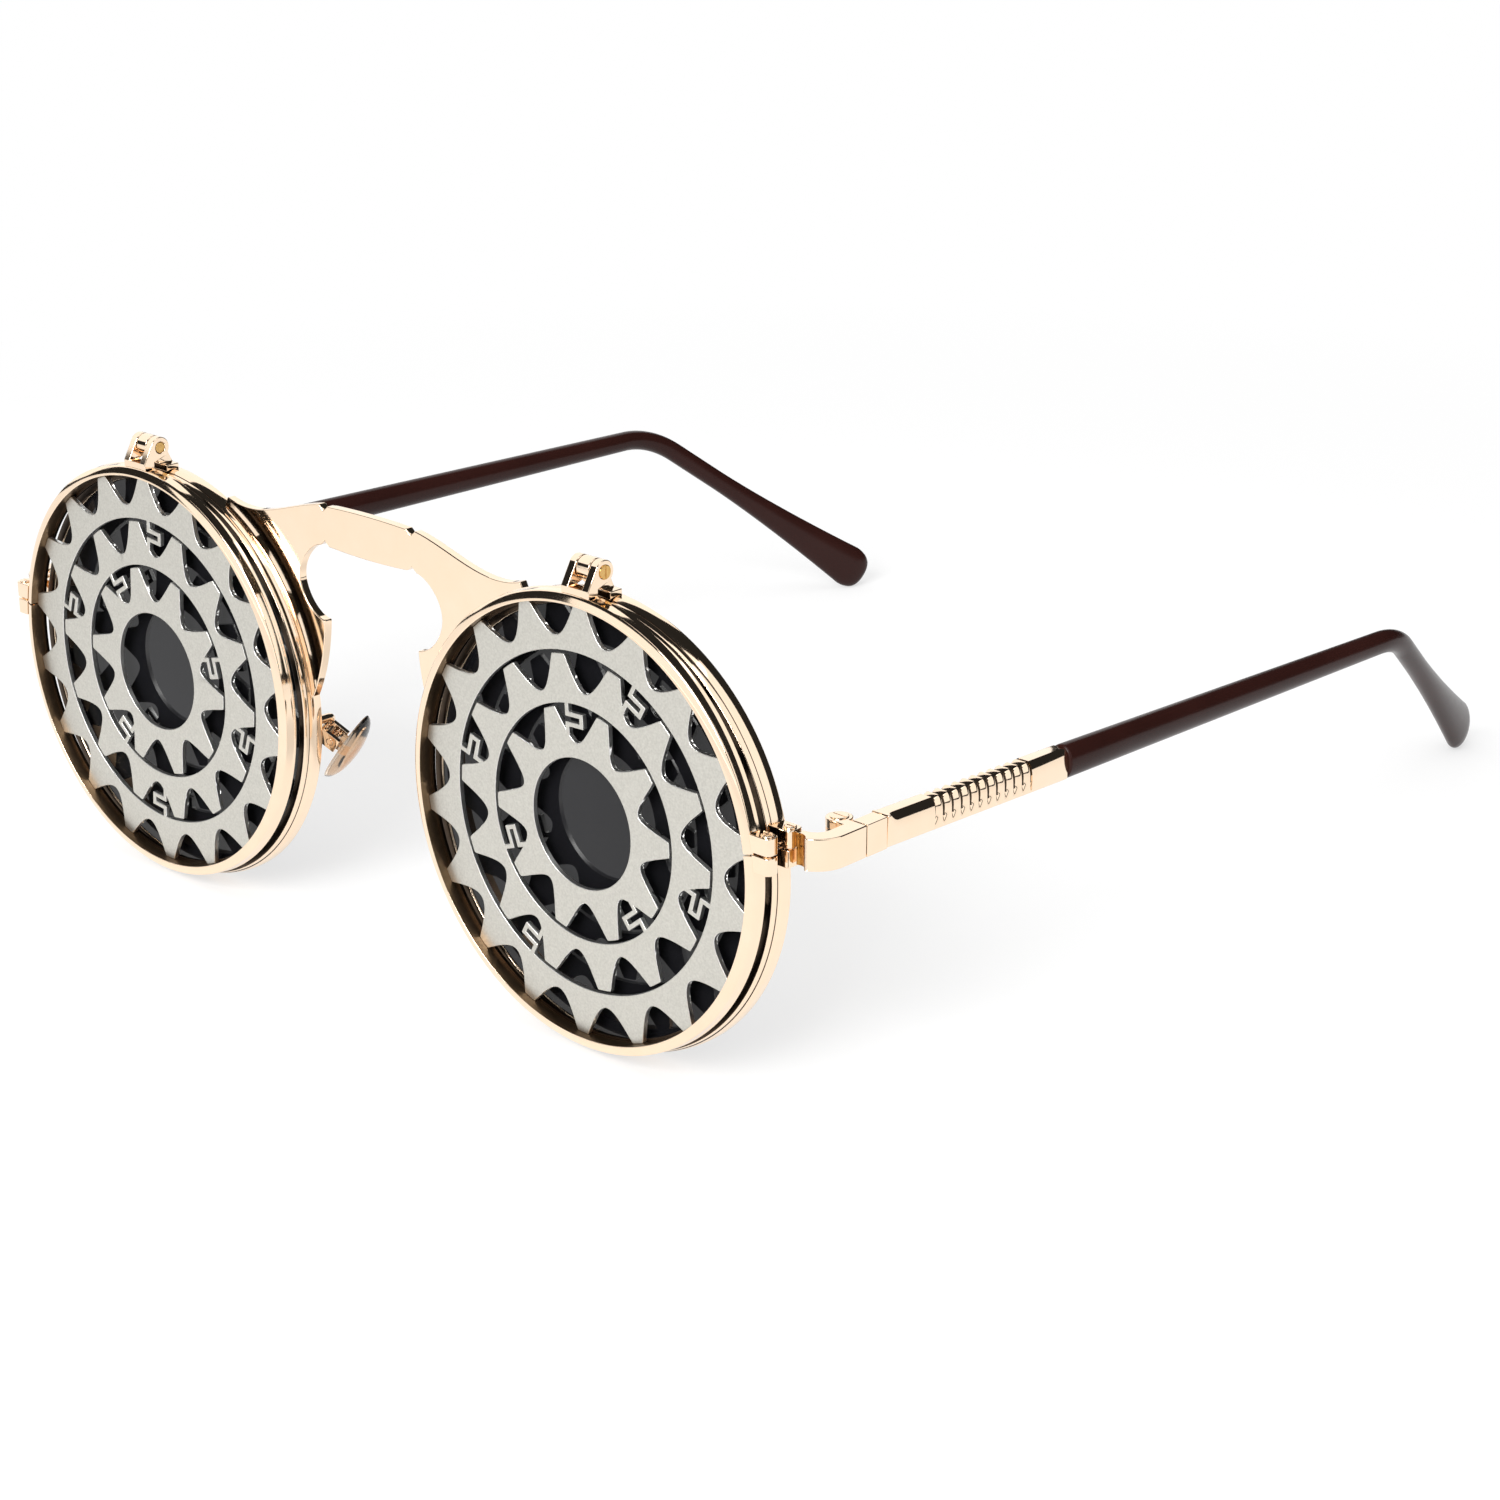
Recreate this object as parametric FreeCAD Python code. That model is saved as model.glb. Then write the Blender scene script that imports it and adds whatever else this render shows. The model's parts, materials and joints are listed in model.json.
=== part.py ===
import FreeCAD, Part
import math
import os
from FreeCAD import Placement, Rotation, Vector

# Round metal flip-up sunglasses, standing on their rims and temple tips, in millimetres.
# +Z is up, -Y is the way the wearer looks and +X is the wearer's left.
# All is laid out about the point midway between the two gear plates, on their front faces,
# for the wearer's left side, and mirrored. At the end it is set down on the ground plane.

# The two eyes: clear width between the rims at the nose, and from each rim to the ring in front
rim_gap = 20.6
ring_gap = 0.95

# Rear rim and its lens
rim_lip_radius = 22.7
rim_wall = 1.5
rim_depth = 2.3
rim_drop = 0.7
rim_rounding = 0.45
lens_thickness = 1.8
lens_bevel = 0.5
lens_clearance = 0.03

# Flip ring and the way the gear plate sits in it
flip_ring_step = 0.1
flip_wall = 1.6
flip_depth = 1.95
flip_rounding = 0.45
flip_stand_proud = 0.95
plate_thickness = 0.6
plate_seat = 0.4
plate_clearance = 0.02

# Gear plate: three toothed rings from the seat inwards, tooth tips just short of the next ring
outer_ring_teeth = 18
outer_tooth_depth = 3.53
outer_ring_band = 1.5
middle_ring_teeth = 14
middle_tooth_depth = 3.65
middle_ring_band = 1.4
inner_ring_teeth = 10
inner_tooth_depth = 3.63
inner_ring_band = 1.62
tooth_gap = 0.35
inner_tooth_tip = 1.6
middle_tooth_tip = 1.75
outer_tooth_tip = 1.5
inner_ring_phase = 2.5
middle_ring_phase = 22.3
outer_ring_phase = 9.2
valley_steps = 4
right_plate_turn = -79.0

# Stepped links that carry one ring of the plate in the next
link_strip = 0.5
link_left = -1.25
link_right = 0.72
link_upper_drop = 1.15
link_lower_drop = 2.2
link_foot = 0.35
link_bury = 0.3
inner_link_valleys = (2, 5, 8)
middle_link_valleys = (1, 5, 8, 12)

# Closing blocks of the rings, with their slit and screw
lock_height = 3.8
lock_level = 3.7
lock_reach = 1.65
lock_inset = 0.15
lock_rounding = 0.6
lock_slit = 0.2
lock_screw_offset = 0.78
lock_screw_radius = 0.45
lock_head_radius = 0.8
lock_head_height = 0.45
screw_clearance = 0.03
screw_slot_width = 0.25
screw_slot_depth = 0.2
screw_edge_share = 0.33
braze_gap = 0.02

# Flip hinge on top of the rings
flip_axis_back = 1.6
flip_axis_rise = 2.1
flip_barrel_radius = 1.2
flip_hinge_width = 3.8
flip_hinge_offset = 0.4
flip_ear = 0.95
flip_side_gap = 0.1
flip_foot_thickness = 0.55
flip_foot_inset = 0.3
flip_screw_radius = 0.6
flip_head_radius = 1.0
flip_head_height = 0.3
pivot_clearance = 0.04

# Endpiece and temple hinge
endpiece_height = 3.3
endpiece_thickness = 1.9
endpiece_reach = 5.4
endpiece_corner = 3.5
endpiece_run = 6.85
endpiece_front_step = 0.05
hinge_barrel_radius = 1.35
hinge_barrel_gap = 0.25
hinge_middle_knuckle = 1.2
hinge_level_gap = 0.08
hinge_butt_gap = 0.05
hinge_screw_radius = 0.6
hinge_head_radius = 1.05
hinge_head_height = 0.45

# Temple bar
block_length = 3.0
bar_length = 29.2
bar_height = 3.3
bar_thickness = 2.2
bar_top_rounding = 1.05
bar_foot_rounding = 0.3
bar_toe_in_angle = 0.6
seam_depth = 0.15
bar_bury = 0.6
rib_count = 11
rib_pitch = 1.42
rib_start = 7.8
rib_groove = 0.6
rib_groove_depth = 0.3
rib_reach_down = 1.9
tang_radius = 0.65
tang_length = 30.0
tang_clearance = 0.03

# Temple sleeve: a tapering stretch, a bend behind the ear, a thin leg and a flat rounded tip
sleeve_straight = 67.4
sleeve_bend_radius = 14.0
sleeve_tip_back = 34.0
sleeve_start_height = 3.8
sleeve_start_thickness = 2.9
sleeve_bend_height = 2.75
sleeve_bend_thickness = 2.6
sleeve_tip_height = 6.2
sleeve_tip_thickness = 2.8
sleeve_tip_swell = 20.0
sleeve_tip_round = 3.2
sleeve_joint_gap = 0.02

# Each temple is bent to the head by hand: how far it drops and how far its tip comes in
left_drop_angle = 2.4
left_tip_in = 8.3
right_drop_angle = 0.6
right_tip_in = 12.3

# Bridge: flat plate whose claws and tails end on the rims, at these angles above the nose side
bridge_thickness = 1.0
bridge_setback = 1.05
bridge_claw_angle = 63.8
bridge_claw_proud = 1.2
bridge_tail_angle = 6.3
bridge_tail_proud = 0.25
bridge_crown_rise = 2.3
bridge_depth = 4.85
bridge_notch_place = 6.95
bridge_notch_half = 0.7
bridge_notch_depth = 0.75
bridge_waist_back = 5.5
bridge_waist_drop = 0.35
bridge_shoulder_place = 9.6
bridge_shoulder_drop = 0.55
bridge_arch_half = 11.4
bridge_arch_side_drop = 3.75
bridge_corner_place = 9.7
bridge_corner_drop = 0.8
bridge_barb_place = 7.5
bridge_barb_drop = 8.25
bridge_tail_bow = 1.9
bridge_side_bow = 1.0
bridge_side_drop = 0.6
bridge_crown_fall = 0.15
bridge_arch_fall = 0.2

# Nose pads on their arms
pad_across = 10.2
pad_back = 7.2
pad_rise = -4.8
pad_frontal_angle = 39.0
pad_splay_angle = 22.0
pad_half_length = 5.1
pad_half_width = 3.0
pad_crown = 1.6
pad_stub_width = 1.2
pad_stub_radius = 0.8
pad_pivot_reach = 1.55
pad_side_gap = 0.08
pad_cheek = 0.5
pad_box_gap = 0.3
pad_box_base = 0.5
pad_cheek_half = 0.95
pad_screw_radius = 0.4
pad_screw_head_radius = 0.7
pad_screw_head = 0.3
pad_arm_radius = 0.5
pad_arm_root_rise = -1.3
pad_arm_run = 2.0
pad_arm_bend = 0.7

# Worked out from the sizes above
rim_outer_radius = rim_lip_radius + rim_wall
eye_x = rim_gap / 2 + rim_outer_radius
flip_outer_radius = rim_outer_radius - flip_ring_step
flip_lip_radius = flip_outer_radius - flip_wall
flip_front = -flip_stand_proud
flip_back = flip_front + flip_depth
rim_front = flip_back + ring_gap
rim_back = rim_front + rim_depth
rim_middle = (rim_front + rim_back) / 2
plate_radius = flip_lip_radius + plate_seat - plate_clearance
outer_ring_root = plate_radius - outer_tooth_depth
outer_ring_hole = outer_ring_root - outer_ring_band
middle_ring_tip = outer_ring_hole - tooth_gap
middle_ring_root = middle_ring_tip - middle_tooth_depth
middle_ring_hole = middle_ring_root - middle_ring_band
inner_ring_tip = middle_ring_hole - tooth_gap
inner_ring_root = inner_ring_tip - inner_tooth_depth
inner_ring_hole = inner_ring_root - inner_ring_band
rim_top = rim_outer_radius - rim_drop
flip_axis_z = max(rim_top, flip_outer_radius) + flip_axis_rise
flip_hinge_x = eye_x + flip_hinge_offset
endpiece_outer = eye_x + rim_outer_radius + endpiece_reach
endpiece_inner = endpiece_outer - endpiece_thickness
endpiece_front = rim_front + endpiece_front_step
endpiece_bottom = lock_level - endpiece_height / 2
endpiece_top = lock_level + endpiece_height / 2
hinge_x = endpiece_inner - hinge_barrel_gap - hinge_barrel_radius
hinge_y = endpiece_front + endpiece_run
knuckle_bottom = lock_level - hinge_middle_knuckle / 2
knuckle_top = lock_level + hinge_middle_knuckle / 2

# How finely the lofted sleeve is stepped and how often its tip is let down to the ground
bend_steps = 6
tip_steps = 6
tip_last_angle = 85.0
tip_squareness = 0.7
settling_rounds = 3

UP = Vector(0, 0, 1)
BACK = Vector(0, 1, 0)
OUT = Vector(1, 0, 0)
FAR = 100.0


def box(x0, x1, y0, y1, z0, z1):
    return Part.makeBox(x1 - x0, y1 - y0, z1 - z0, Vector(x0, y0, z0))


def line(start, end):
    return Part.LineSegment(start, end).toShape()


def arc(start, middle, end):
    return Part.Arc(start, middle, end).toShape()


def polygon_face(points):
    return Part.Face(Part.makePolygon(points + [points[0]]))


def eye_point(radius, y):
    return Vector(eye_x + radius, y, 0)


def turn_about_eye(edges, level):
    face = Part.Face(Part.Wire(edges))
    turned = face.revolve(Vector(eye_x, 0, 0), BACK, 360)
    turned.translate(UP * level)
    return turned


def wire_ring(lip_radius, outer_radius, front, back, rounding, groove, level):
    """Ring round the eye's axis with a rounded outside; groove lists (radius, y) from back to front."""
    middle = (front + back) / 2
    shoulder = outer_radius - rounding
    corners = [eye_point(shoulder, back), eye_point(lip_radius, back)]
    corners += [eye_point(radius, y) for radius, y in groove]
    corners += [eye_point(lip_radius, front), eye_point(shoulder, front)]
    edges = [line(a, b) for a, b in zip(corners, corners[1:])]
    edges.append(arc(corners[-1], eye_point(outer_radius, middle), corners[0]))
    return turn_about_eye(edges, level)


def ring_envelope(outer_radius, front, back, rounding, level):
    """Solid disc as wide as a ring and its braze gap, to shape what is brazed on the ring."""
    middle = (front + back) / 2
    shoulder = outer_radius - rounding + braze_gap
    crown = outer_radius + braze_gap
    corners = [eye_point(shoulder, back), eye_point(0, back), eye_point(0, front), eye_point(shoulder, front)]
    edges = [line(a, b) for a, b in zip(corners, corners[1:])]
    edges.append(arc(corners[-1], eye_point(crown, middle), corners[0]))
    return turn_about_eye(edges, level)


rim_envelope = ring_envelope(rim_outer_radius, rim_front, rim_back, rim_rounding, -rim_drop)
flip_envelope = ring_envelope(flip_outer_radius, flip_front, flip_back, flip_rounding, 0)


def closing_slit():
    return box(eye_x, eye_x + FAR, -FAR, FAR, lock_level - lock_slit / 2, lock_level + lock_slit / 2)


def make_rear_rim():
    groove_radius = rim_lip_radius + lens_bevel
    groove = [(rim_lip_radius, rim_middle + lens_bevel), (groove_radius, rim_middle)]
    groove.append((rim_lip_radius, rim_middle - lens_bevel))
    ring = wire_ring(rim_lip_radius, rim_outer_radius, rim_front, rim_back, rim_rounding, groove, -rim_drop)
    return ring.cut(closing_slit())


def make_lens():
    edge_radius = rim_lip_radius + lens_bevel - lens_clearance
    body_radius = rim_lip_radius - lens_clearance
    half = lens_thickness / 2
    corners = [eye_point(0, rim_middle - half), eye_point(body_radius, rim_middle - half)]
    corners += [eye_point(body_radius, rim_middle - lens_bevel), eye_point(edge_radius, rim_middle)]
    corners += [eye_point(body_radius, rim_middle + lens_bevel), eye_point(body_radius, rim_middle + half)]
    corners += [eye_point(0, rim_middle + half)]
    edges = [line(a, b) for a, b in zip(corners, corners[1:] + corners[:1])]
    return turn_about_eye(edges, -rim_drop)


def make_flip_ring():
    groove_radius = flip_lip_radius + plate_seat
    groove_back = plate_thickness + plate_clearance
    groove = [(flip_lip_radius, groove_back), (groove_radius, groove_back)]
    groove += [(groove_radius, -plate_clearance), (flip_lip_radius, -plate_clearance)]
    ring = wire_ring(flip_lip_radius, flip_outer_radius, flip_front, flip_back, flip_rounding, groove, 0)
    return ring.cut(closing_slit())


def plate_point(radius, degrees):
    angle = math.radians(degrees)
    return Vector(radius * math.cos(angle), 0, radius * math.sin(angle))


def toothed_ring(hole, root, tip, teeth, tip_width, phase):
    """Flat ring with tapered teeth outside; each valley between two teeth is a parabola."""
    pitch = 360 / teeth
    tip_half = math.degrees(tip_width / 2 / tip)
    valley_half = pitch / 2 - tip_half
    edges = []
    for tooth in range(teeth):
        centre = phase + tooth * pitch
        start = plate_point(tip, centre - tip_half)
        end = plate_point(tip, centre + tip_half)
        edges.append(arc(start, plate_point(tip, centre), end))
        valley = []
        for step in range(-valley_steps, valley_steps + 1):
            share = step / valley_steps
            angle = centre + pitch / 2 + share * valley_half
            valley.append(plate_point(root + (tip - root) * share ** 2, angle))
        curve = Part.BSplineCurve()
        curve.interpolate(valley)
        edges.append(curve.toShape())
    face = Part.Face(Part.Wire(edges))
    ring = face.extrude(BACK * plate_thickness)
    return ring.cut(Part.makeCylinder(hole, plate_thickness, Vector(0, 0, 0), BACK))


def stepped_link(carrier_hole, root, degrees):
    """Strip with four square turns from a ring's inner edge down into a valley between two teeth."""
    upper = carrier_hole - link_upper_drop
    lower = carrier_hole - link_lower_drop
    path = [(link_left, carrier_hole + link_bury), (link_left, upper), (link_right, upper)]
    path += [(link_right, lower), (link_left, lower), (link_left, root + link_foot)]
    half = link_strip / 2
    normals = []
    for (t0, r0), (t1, r1) in zip(path, path[1:]):
        length = math.hypot(t1 - t0, r1 - r0)
        normals.append(((r0 - r1) / length, (t1 - t0) / length))
    sums = [normals[0]]
    sums += [(a[0] + b[0], a[1] + b[1]) for a, b in zip(normals, normals[1:])]
    sums.append(normals[-1])
    one_side = [(t + half * n[0], r + half * n[1]) for (t, r), n in zip(path, sums)]
    other_side = [(t - half * n[0], r - half * n[1]) for (t, r), n in zip(path, sums)]
    corners = [Vector(r, 0, -t) for t, r in one_side + other_side[::-1]]
    strip = polygon_face(corners).extrude(BACK * plate_thickness)
    strip.rotate(Vector(0, 0, 0), BACK, -degrees)
    return strip


def make_gear_plate():
    inner = toothed_ring(inner_ring_hole, inner_ring_root, inner_ring_tip, inner_ring_teeth,
                         inner_tooth_tip, inner_ring_phase)
    middle = toothed_ring(middle_ring_hole, middle_ring_root, middle_ring_tip, middle_ring_teeth,
                          middle_tooth_tip, middle_ring_phase)
    outer = toothed_ring(outer_ring_hole, outer_ring_root, plate_radius, outer_ring_teeth,
                         outer_tooth_tip, outer_ring_phase)
    pieces = [middle, outer]
    for valley in inner_link_valleys:
        angle = inner_ring_phase + (valley + 0.5) * 360 / inner_ring_teeth
        pieces.append(stepped_link(middle_ring_hole, inner_ring_root, angle))
    for valley in middle_link_valleys:
        angle = middle_ring_phase + (valley + 0.5) * 360 / middle_ring_teeth
        pieces.append(stepped_link(outer_ring_hole, middle_ring_root, angle))
    return inner.multiFuse(pieces).removeSplitter()


def placed_plate(plate, side, turn):
    placed = plate.copy()
    placed.rotate(Vector(0, 0, 0), BACK, -turn)
    placed.translate(Vector(side * eye_x, 0, 0))
    return placed


def lock_screw_x(outer_radius):
    return eye_x + outer_radius + lock_screw_offset


def make_lock(outer_radius, front, back, envelope, lower_relief):
    """Closing block of a ring: two halves, one above and one below the slit."""
    outer = eye_x + outer_radius + lock_reach
    middle = (front + back) / 2
    bottom = lock_level - lock_height / 2
    top = lock_level + lock_height / 2
    block = box(eye_x, outer, front + lock_inset, back - lock_inset, bottom, top)
    uprights = [e for e in block.Edges if abs(e.tangentAt(e.FirstParameter).z) > 0.9]
    uprights = [e for e in uprights if e.CenterOfMass.x > outer - lock_rounding]
    block = block.makeFillet(lock_rounding, uprights)
    block = block.cut(envelope).cut(closing_slit())
    bore_radius = lock_screw_radius + screw_clearance
    bore = Part.makeCylinder(bore_radius, 2 * FAR, Vector(lock_screw_x(outer_radius), middle, -FAR))
    relief = box(outer - lower_relief, FAR, -FAR, FAR, -FAR, lock_level)
    halves = [h for h in block.cut(bore).cut(relief).Solids if h.BoundBox.XMax > eye_x + outer_radius]
    return Part.makeCompound(halves)


def slotted_head(radius, height):
    """Screw head on the plane z = 0, with a driver slot across its crown."""
    head = Part.makeCylinder(radius, height)
    crown_edges = [e for e in head.Edges if e.BoundBox.ZMin > height / 2]
    head = head.makeChamfer(height * screw_edge_share, crown_edges)
    slot = box(-FAR, FAR, -screw_slot_width / 2, screw_slot_width / 2, height - screw_slot_depth, FAR)
    return head.cut(slot)


def make_lock_screw(outer_radius, front, back):
    top = lock_level + lock_height / 2
    screw = slotted_head(lock_head_radius, lock_head_height)
    screw = screw.fuse(Part.makeCylinder(lock_screw_radius, lock_height, Vector(0, 0, -lock_height)))
    screw.translate(Vector(lock_screw_x(outer_radius), (front + back) / 2, top + braze_gap))
    return screw.removeSplitter()


def hinge_leaf(x0, x1, foot_front, foot_back, foot_top):
    """Web from a flat foot up to a barrel on the flip axis, as thick as x0 to x1."""
    centre = Vector(x0, flip_axis_back, flip_axis_z)
    barrel = Part.makeCylinder(flip_barrel_radius, x1 - x0, centre, OUT)
    corners = []
    for y in (foot_front, foot_back):
        foot = Vector(x0, y, foot_top)
        reach = centre - foot
        side = 1 if y == foot_back else -1
        lean = math.degrees(math.atan2(reach.y, reach.z))
        spread = math.degrees(math.asin(flip_barrel_radius / reach.Length))
        along = math.radians(lean + side * spread)
        length = math.sqrt(reach.Length ** 2 - flip_barrel_radius ** 2)
        corners.append((foot, foot + Vector(0, math.sin(along), math.cos(along)) * length))
    web = polygon_face([corners[0][0], corners[0][1], centre, corners[1][1], corners[1][0]])
    return barrel.fuse(web.extrude(OUT * (x1 - x0)))


def flip_foot(front, back, ring_top, envelope):
    half = flip_hinge_width / 2
    low = ring_top - flip_foot_thickness
    high = ring_top + flip_foot_thickness
    foot = box(flip_hinge_x - half, flip_hinge_x + half, front, back, low, high)
    return foot.cut(envelope)


def flip_bore():
    radius = flip_screw_radius + pivot_clearance
    return Part.makeCylinder(radius, 2 * FAR, Vector(-FAR, flip_axis_back, flip_axis_z), OUT)


def make_flip_leaf():
    front = flip_front + flip_foot_inset
    back = flip_back - flip_foot_inset
    top = flip_outer_radius + flip_foot_thickness
    half = flip_hinge_width / 2
    leaf = flip_foot(front, back, flip_outer_radius, flip_envelope)
    for start in (flip_hinge_x - half, flip_hinge_x + half - flip_ear):
        leaf = leaf.fuse(hinge_leaf(start, start + flip_ear, front, back, top))
    return leaf.cut(flip_bore()).removeSplitter()


def make_flip_knuckle():
    front = rim_front + flip_foot_inset
    back = rim_back - flip_foot_inset
    top = rim_top + flip_foot_thickness
    half = flip_hinge_width / 2 - flip_ear - flip_side_gap
    leaf = flip_foot(front, back, rim_top, rim_envelope)
    leaf = leaf.fuse(hinge_leaf(flip_hinge_x - half, flip_hinge_x + half, front, back, top))
    return leaf.cut(flip_bore()).removeSplitter()


def make_flip_hinge_screw():
    screw = slotted_head(flip_head_radius, flip_head_height)
    shank = Part.makeCylinder(flip_screw_radius, flip_hinge_width, Vector(0, 0, -flip_hinge_width))
    screw = screw.fuse(shank).removeSplitter()
    screw.rotate(Vector(0, 0, 0), BACK, 90)
    screw.translate(Vector(flip_hinge_x + flip_hinge_width / 2 + braze_gap, flip_axis_back, flip_axis_z))
    return screw


def hinge_bore():
    radius = hinge_screw_radius + pivot_clearance
    return Part.makeCylinder(radius, 2 * FAR, Vector(hinge_x, hinge_y, -FAR))


def hinge_barrel(bottom, top):
    return Part.makeCylinder(hinge_barrel_radius, top - bottom, Vector(hinge_x, hinge_y, bottom))


def make_endpiece():
    start = eye_x + rim_outer_radius + lock_reach + braze_gap
    end = hinge_y - hinge_butt_gap
    inner_corner = endpiece_corner - endpiece_thickness
    centre = Vector(endpiece_outer - endpiece_corner, endpiece_front + endpiece_corner, endpiece_bottom)
    diagonal = Vector(math.sqrt(0.5), -math.sqrt(0.5), 0)
    back_of_front = endpiece_front + endpiece_thickness

    def at(x, y):
        return Vector(x, y, endpiece_bottom)

    outside = centre + diagonal * endpiece_corner
    inside = centre + diagonal * inner_corner
    edges = [line(at(start, endpiece_front), at(centre.x, endpiece_front)),
             arc(at(centre.x, endpiece_front), outside, at(endpiece_outer, centre.y)),
             line(at(endpiece_outer, centre.y), at(endpiece_outer, end)),
             line(at(endpiece_outer, end), at(endpiece_inner, end)),
             line(at(endpiece_inner, end), at(endpiece_inner, centre.y)),
             arc(at(endpiece_inner, centre.y), inside, at(centre.x, back_of_front)),
             line(at(centre.x, back_of_front), at(start, back_of_front)),
             line(at(start, back_of_front), at(start, endpiece_front))]
    bar = Part.Face(Part.Wire(edges)).extrude(UP * endpiece_height)
    for bottom, top in ((endpiece_bottom, knuckle_bottom), (knuckle_top, endpiece_top)):
        web = box(hinge_x, endpiece_inner, hinge_y - hinge_barrel_radius, end, bottom, top)
        bar = bar.fuse(hinge_barrel(bottom, top)).fuse(web)
    return bar.cut(hinge_bore()).removeSplitter()


def make_temple_hinge_screw():
    screw = slotted_head(hinge_head_radius, hinge_head_height)
    shank = Part.makeCylinder(hinge_screw_radius, endpiece_height, Vector(0, 0, -endpiece_height))
    screw = screw.fuse(shank).removeSplitter()
    screw.translate(Vector(hinge_x, hinge_y, endpiece_top + braze_gap))
    return screw


bar_start = Vector(endpiece_outer, hinge_y + block_length, lock_level)


def bar_turn(drop):
    return Rotation(UP, bar_toe_in_angle).multiply(Rotation(OUT, -drop))


def bar_section(inset, y):
    """Upright section of the bar: flat outer face, rounded top, slightly rounded foot."""
    outer = bar_start.x - inset
    inner = bar_start.x - bar_thickness + inset
    bottom = bar_start.z - bar_height / 2
    top = bar_start.z + bar_height / 2 - inset
    crown = bar_top_rounding - inset
    foot = bar_foot_rounding
    slant = math.sqrt(0.5)

    def at(x, z):
        return Vector(x, y, z)

    edges = []
    stations = []
    for x, z, radius, across, along in ((outer, top, crown, -1, -1), (inner, top, crown, 1, -1),
                                        (inner, bottom, foot, 1, 1), (outer, bottom, foot, -1, 1)):
        centre = at(x + across * radius, z + along * radius)
        upright_end = at(x, z + along * radius)
        level_end = at(x + across * radius, z)
        middle = centre + Vector(-across, 0, -along) * (radius * slant)
        ends = (upright_end, level_end) if across == along else (level_end, upright_end)
        stations.append((ends[0], middle, ends[1]))
    for here, following in zip(stations, stations[1:] + stations[:1]):
        edges.append(arc(*here))
        edges.append(line(here[2], following[0]))
    return Part.Face(Part.Wire(edges))


def make_temple_bar(drop):
    y0 = hinge_y + hinge_butt_gap
    block = box(endpiece_inner, endpiece_outer, y0, bar_start.y, endpiece_bottom, endpiece_top)
    seam = box(-seam_depth, seam_depth, -seam_depth, seam_depth, endpiece_bottom, endpiece_top)
    seam.rotate(Vector(0, 0, 0), UP, 45)
    seam.translate(Vector(endpiece_outer, bar_start.y, 0))
    bar = bar_section(0, bar_start.y - bar_bury).extrude(BACK * (bar_length + bar_bury))
    floor_of_ribs = bar_start.z + bar_height / 2 - rib_reach_down
    for rib in range(rib_count):
        y = bar_start.y + rib_start + rib * rib_pitch
        groove = box(-FAR, FAR, y, y + rib_groove, floor_of_ribs, FAR)
        core = bar_section(rib_groove_depth, y).extrude(BACK * rib_groove)
        bar = bar.cut(groove.cut(core))
    core_x = bar_start.x - bar_thickness / 2
    tang_start = Vector(core_x, bar_start.y + bar_length, bar_start.z)
    bar = bar.fuse(Part.makeCylinder(tang_radius, tang_length, tang_start, BACK))
    bar = bar.cut(box(-FAR, FAR, -FAR, y0, -FAR, FAR))
    bar.Placement = Placement(Vector(0, 0, 0), bar_turn(drop), bar_start).multiply(bar.Placement)
    bottom = knuckle_bottom + hinge_level_gap
    top = knuckle_top - hinge_level_gap
    web = box(hinge_x, endpiece_inner, y0, hinge_y + hinge_barrel_radius, bottom, top)
    whole = block.multiFuse([bar, hinge_barrel(bottom, top), web])
    return whole.cut(seam).cut(hinge_bore()).removeSplitter()


def sleeve_section(centre, direction, height, thickness):
    across = direction.cross(UP).normalize()
    upright = across.cross(direction).normalize()
    outline = Part.Ellipse(centre + upright * height / 2, centre + across * thickness / 2, centre)
    return Part.Wire(outline.toShape())


def sleeve_loft(start, direction, corner, end):
    """Solid through ellipses from the bar's end by the corner of the bend to the end of the tip."""
    tip_direction = (end - corner).normalize()
    turn_axis = direction.cross(tip_direction)
    turn = math.degrees(direction.getAngle(tip_direction))
    setback = sleeve_bend_radius * math.tan(math.radians(turn / 2))
    bend_start = corner - direction * setback
    inward = turn_axis.cross(direction).normalize()
    bend_centre = bend_start + inward * sleeve_bend_radius
    sections = [sleeve_section(start, direction, sleeve_start_height, sleeve_start_thickness)]
    for step in range(bend_steps + 1):
        swing = Rotation(turn_axis, turn * step / bend_steps)
        centre = bend_centre + swing.multVec(bend_start - bend_centre)
        along = swing.multVec(direction)
        sections.append(sleeve_section(centre, along, sleeve_bend_height, sleeve_bend_thickness))
    swell_start = end - tip_direction * sleeve_tip_swell
    round_start = end - tip_direction * sleeve_tip_round
    for step in range(tip_steps + 1):
        share = step / tip_steps
        height = sleeve_bend_height + (sleeve_tip_height - sleeve_bend_height) * share
        thickness = sleeve_bend_thickness + (sleeve_tip_thickness - sleeve_bend_thickness) * share
        centre = swell_start + (round_start - swell_start) * share
        sections.append(sleeve_section(centre, tip_direction, height, thickness))
    for step in range(1, tip_steps + 1):
        angle = math.radians(tip_last_angle * step / tip_steps)
        centre = round_start + tip_direction * (sleeve_tip_round * math.sin(angle))
        shrink = math.cos(angle) ** tip_squareness
        sections.append(sleeve_section(centre, tip_direction, sleeve_tip_height * shrink,
                                       sleeve_tip_thickness * shrink))
    return Part.makeLoft(sections, True, True)


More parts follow.
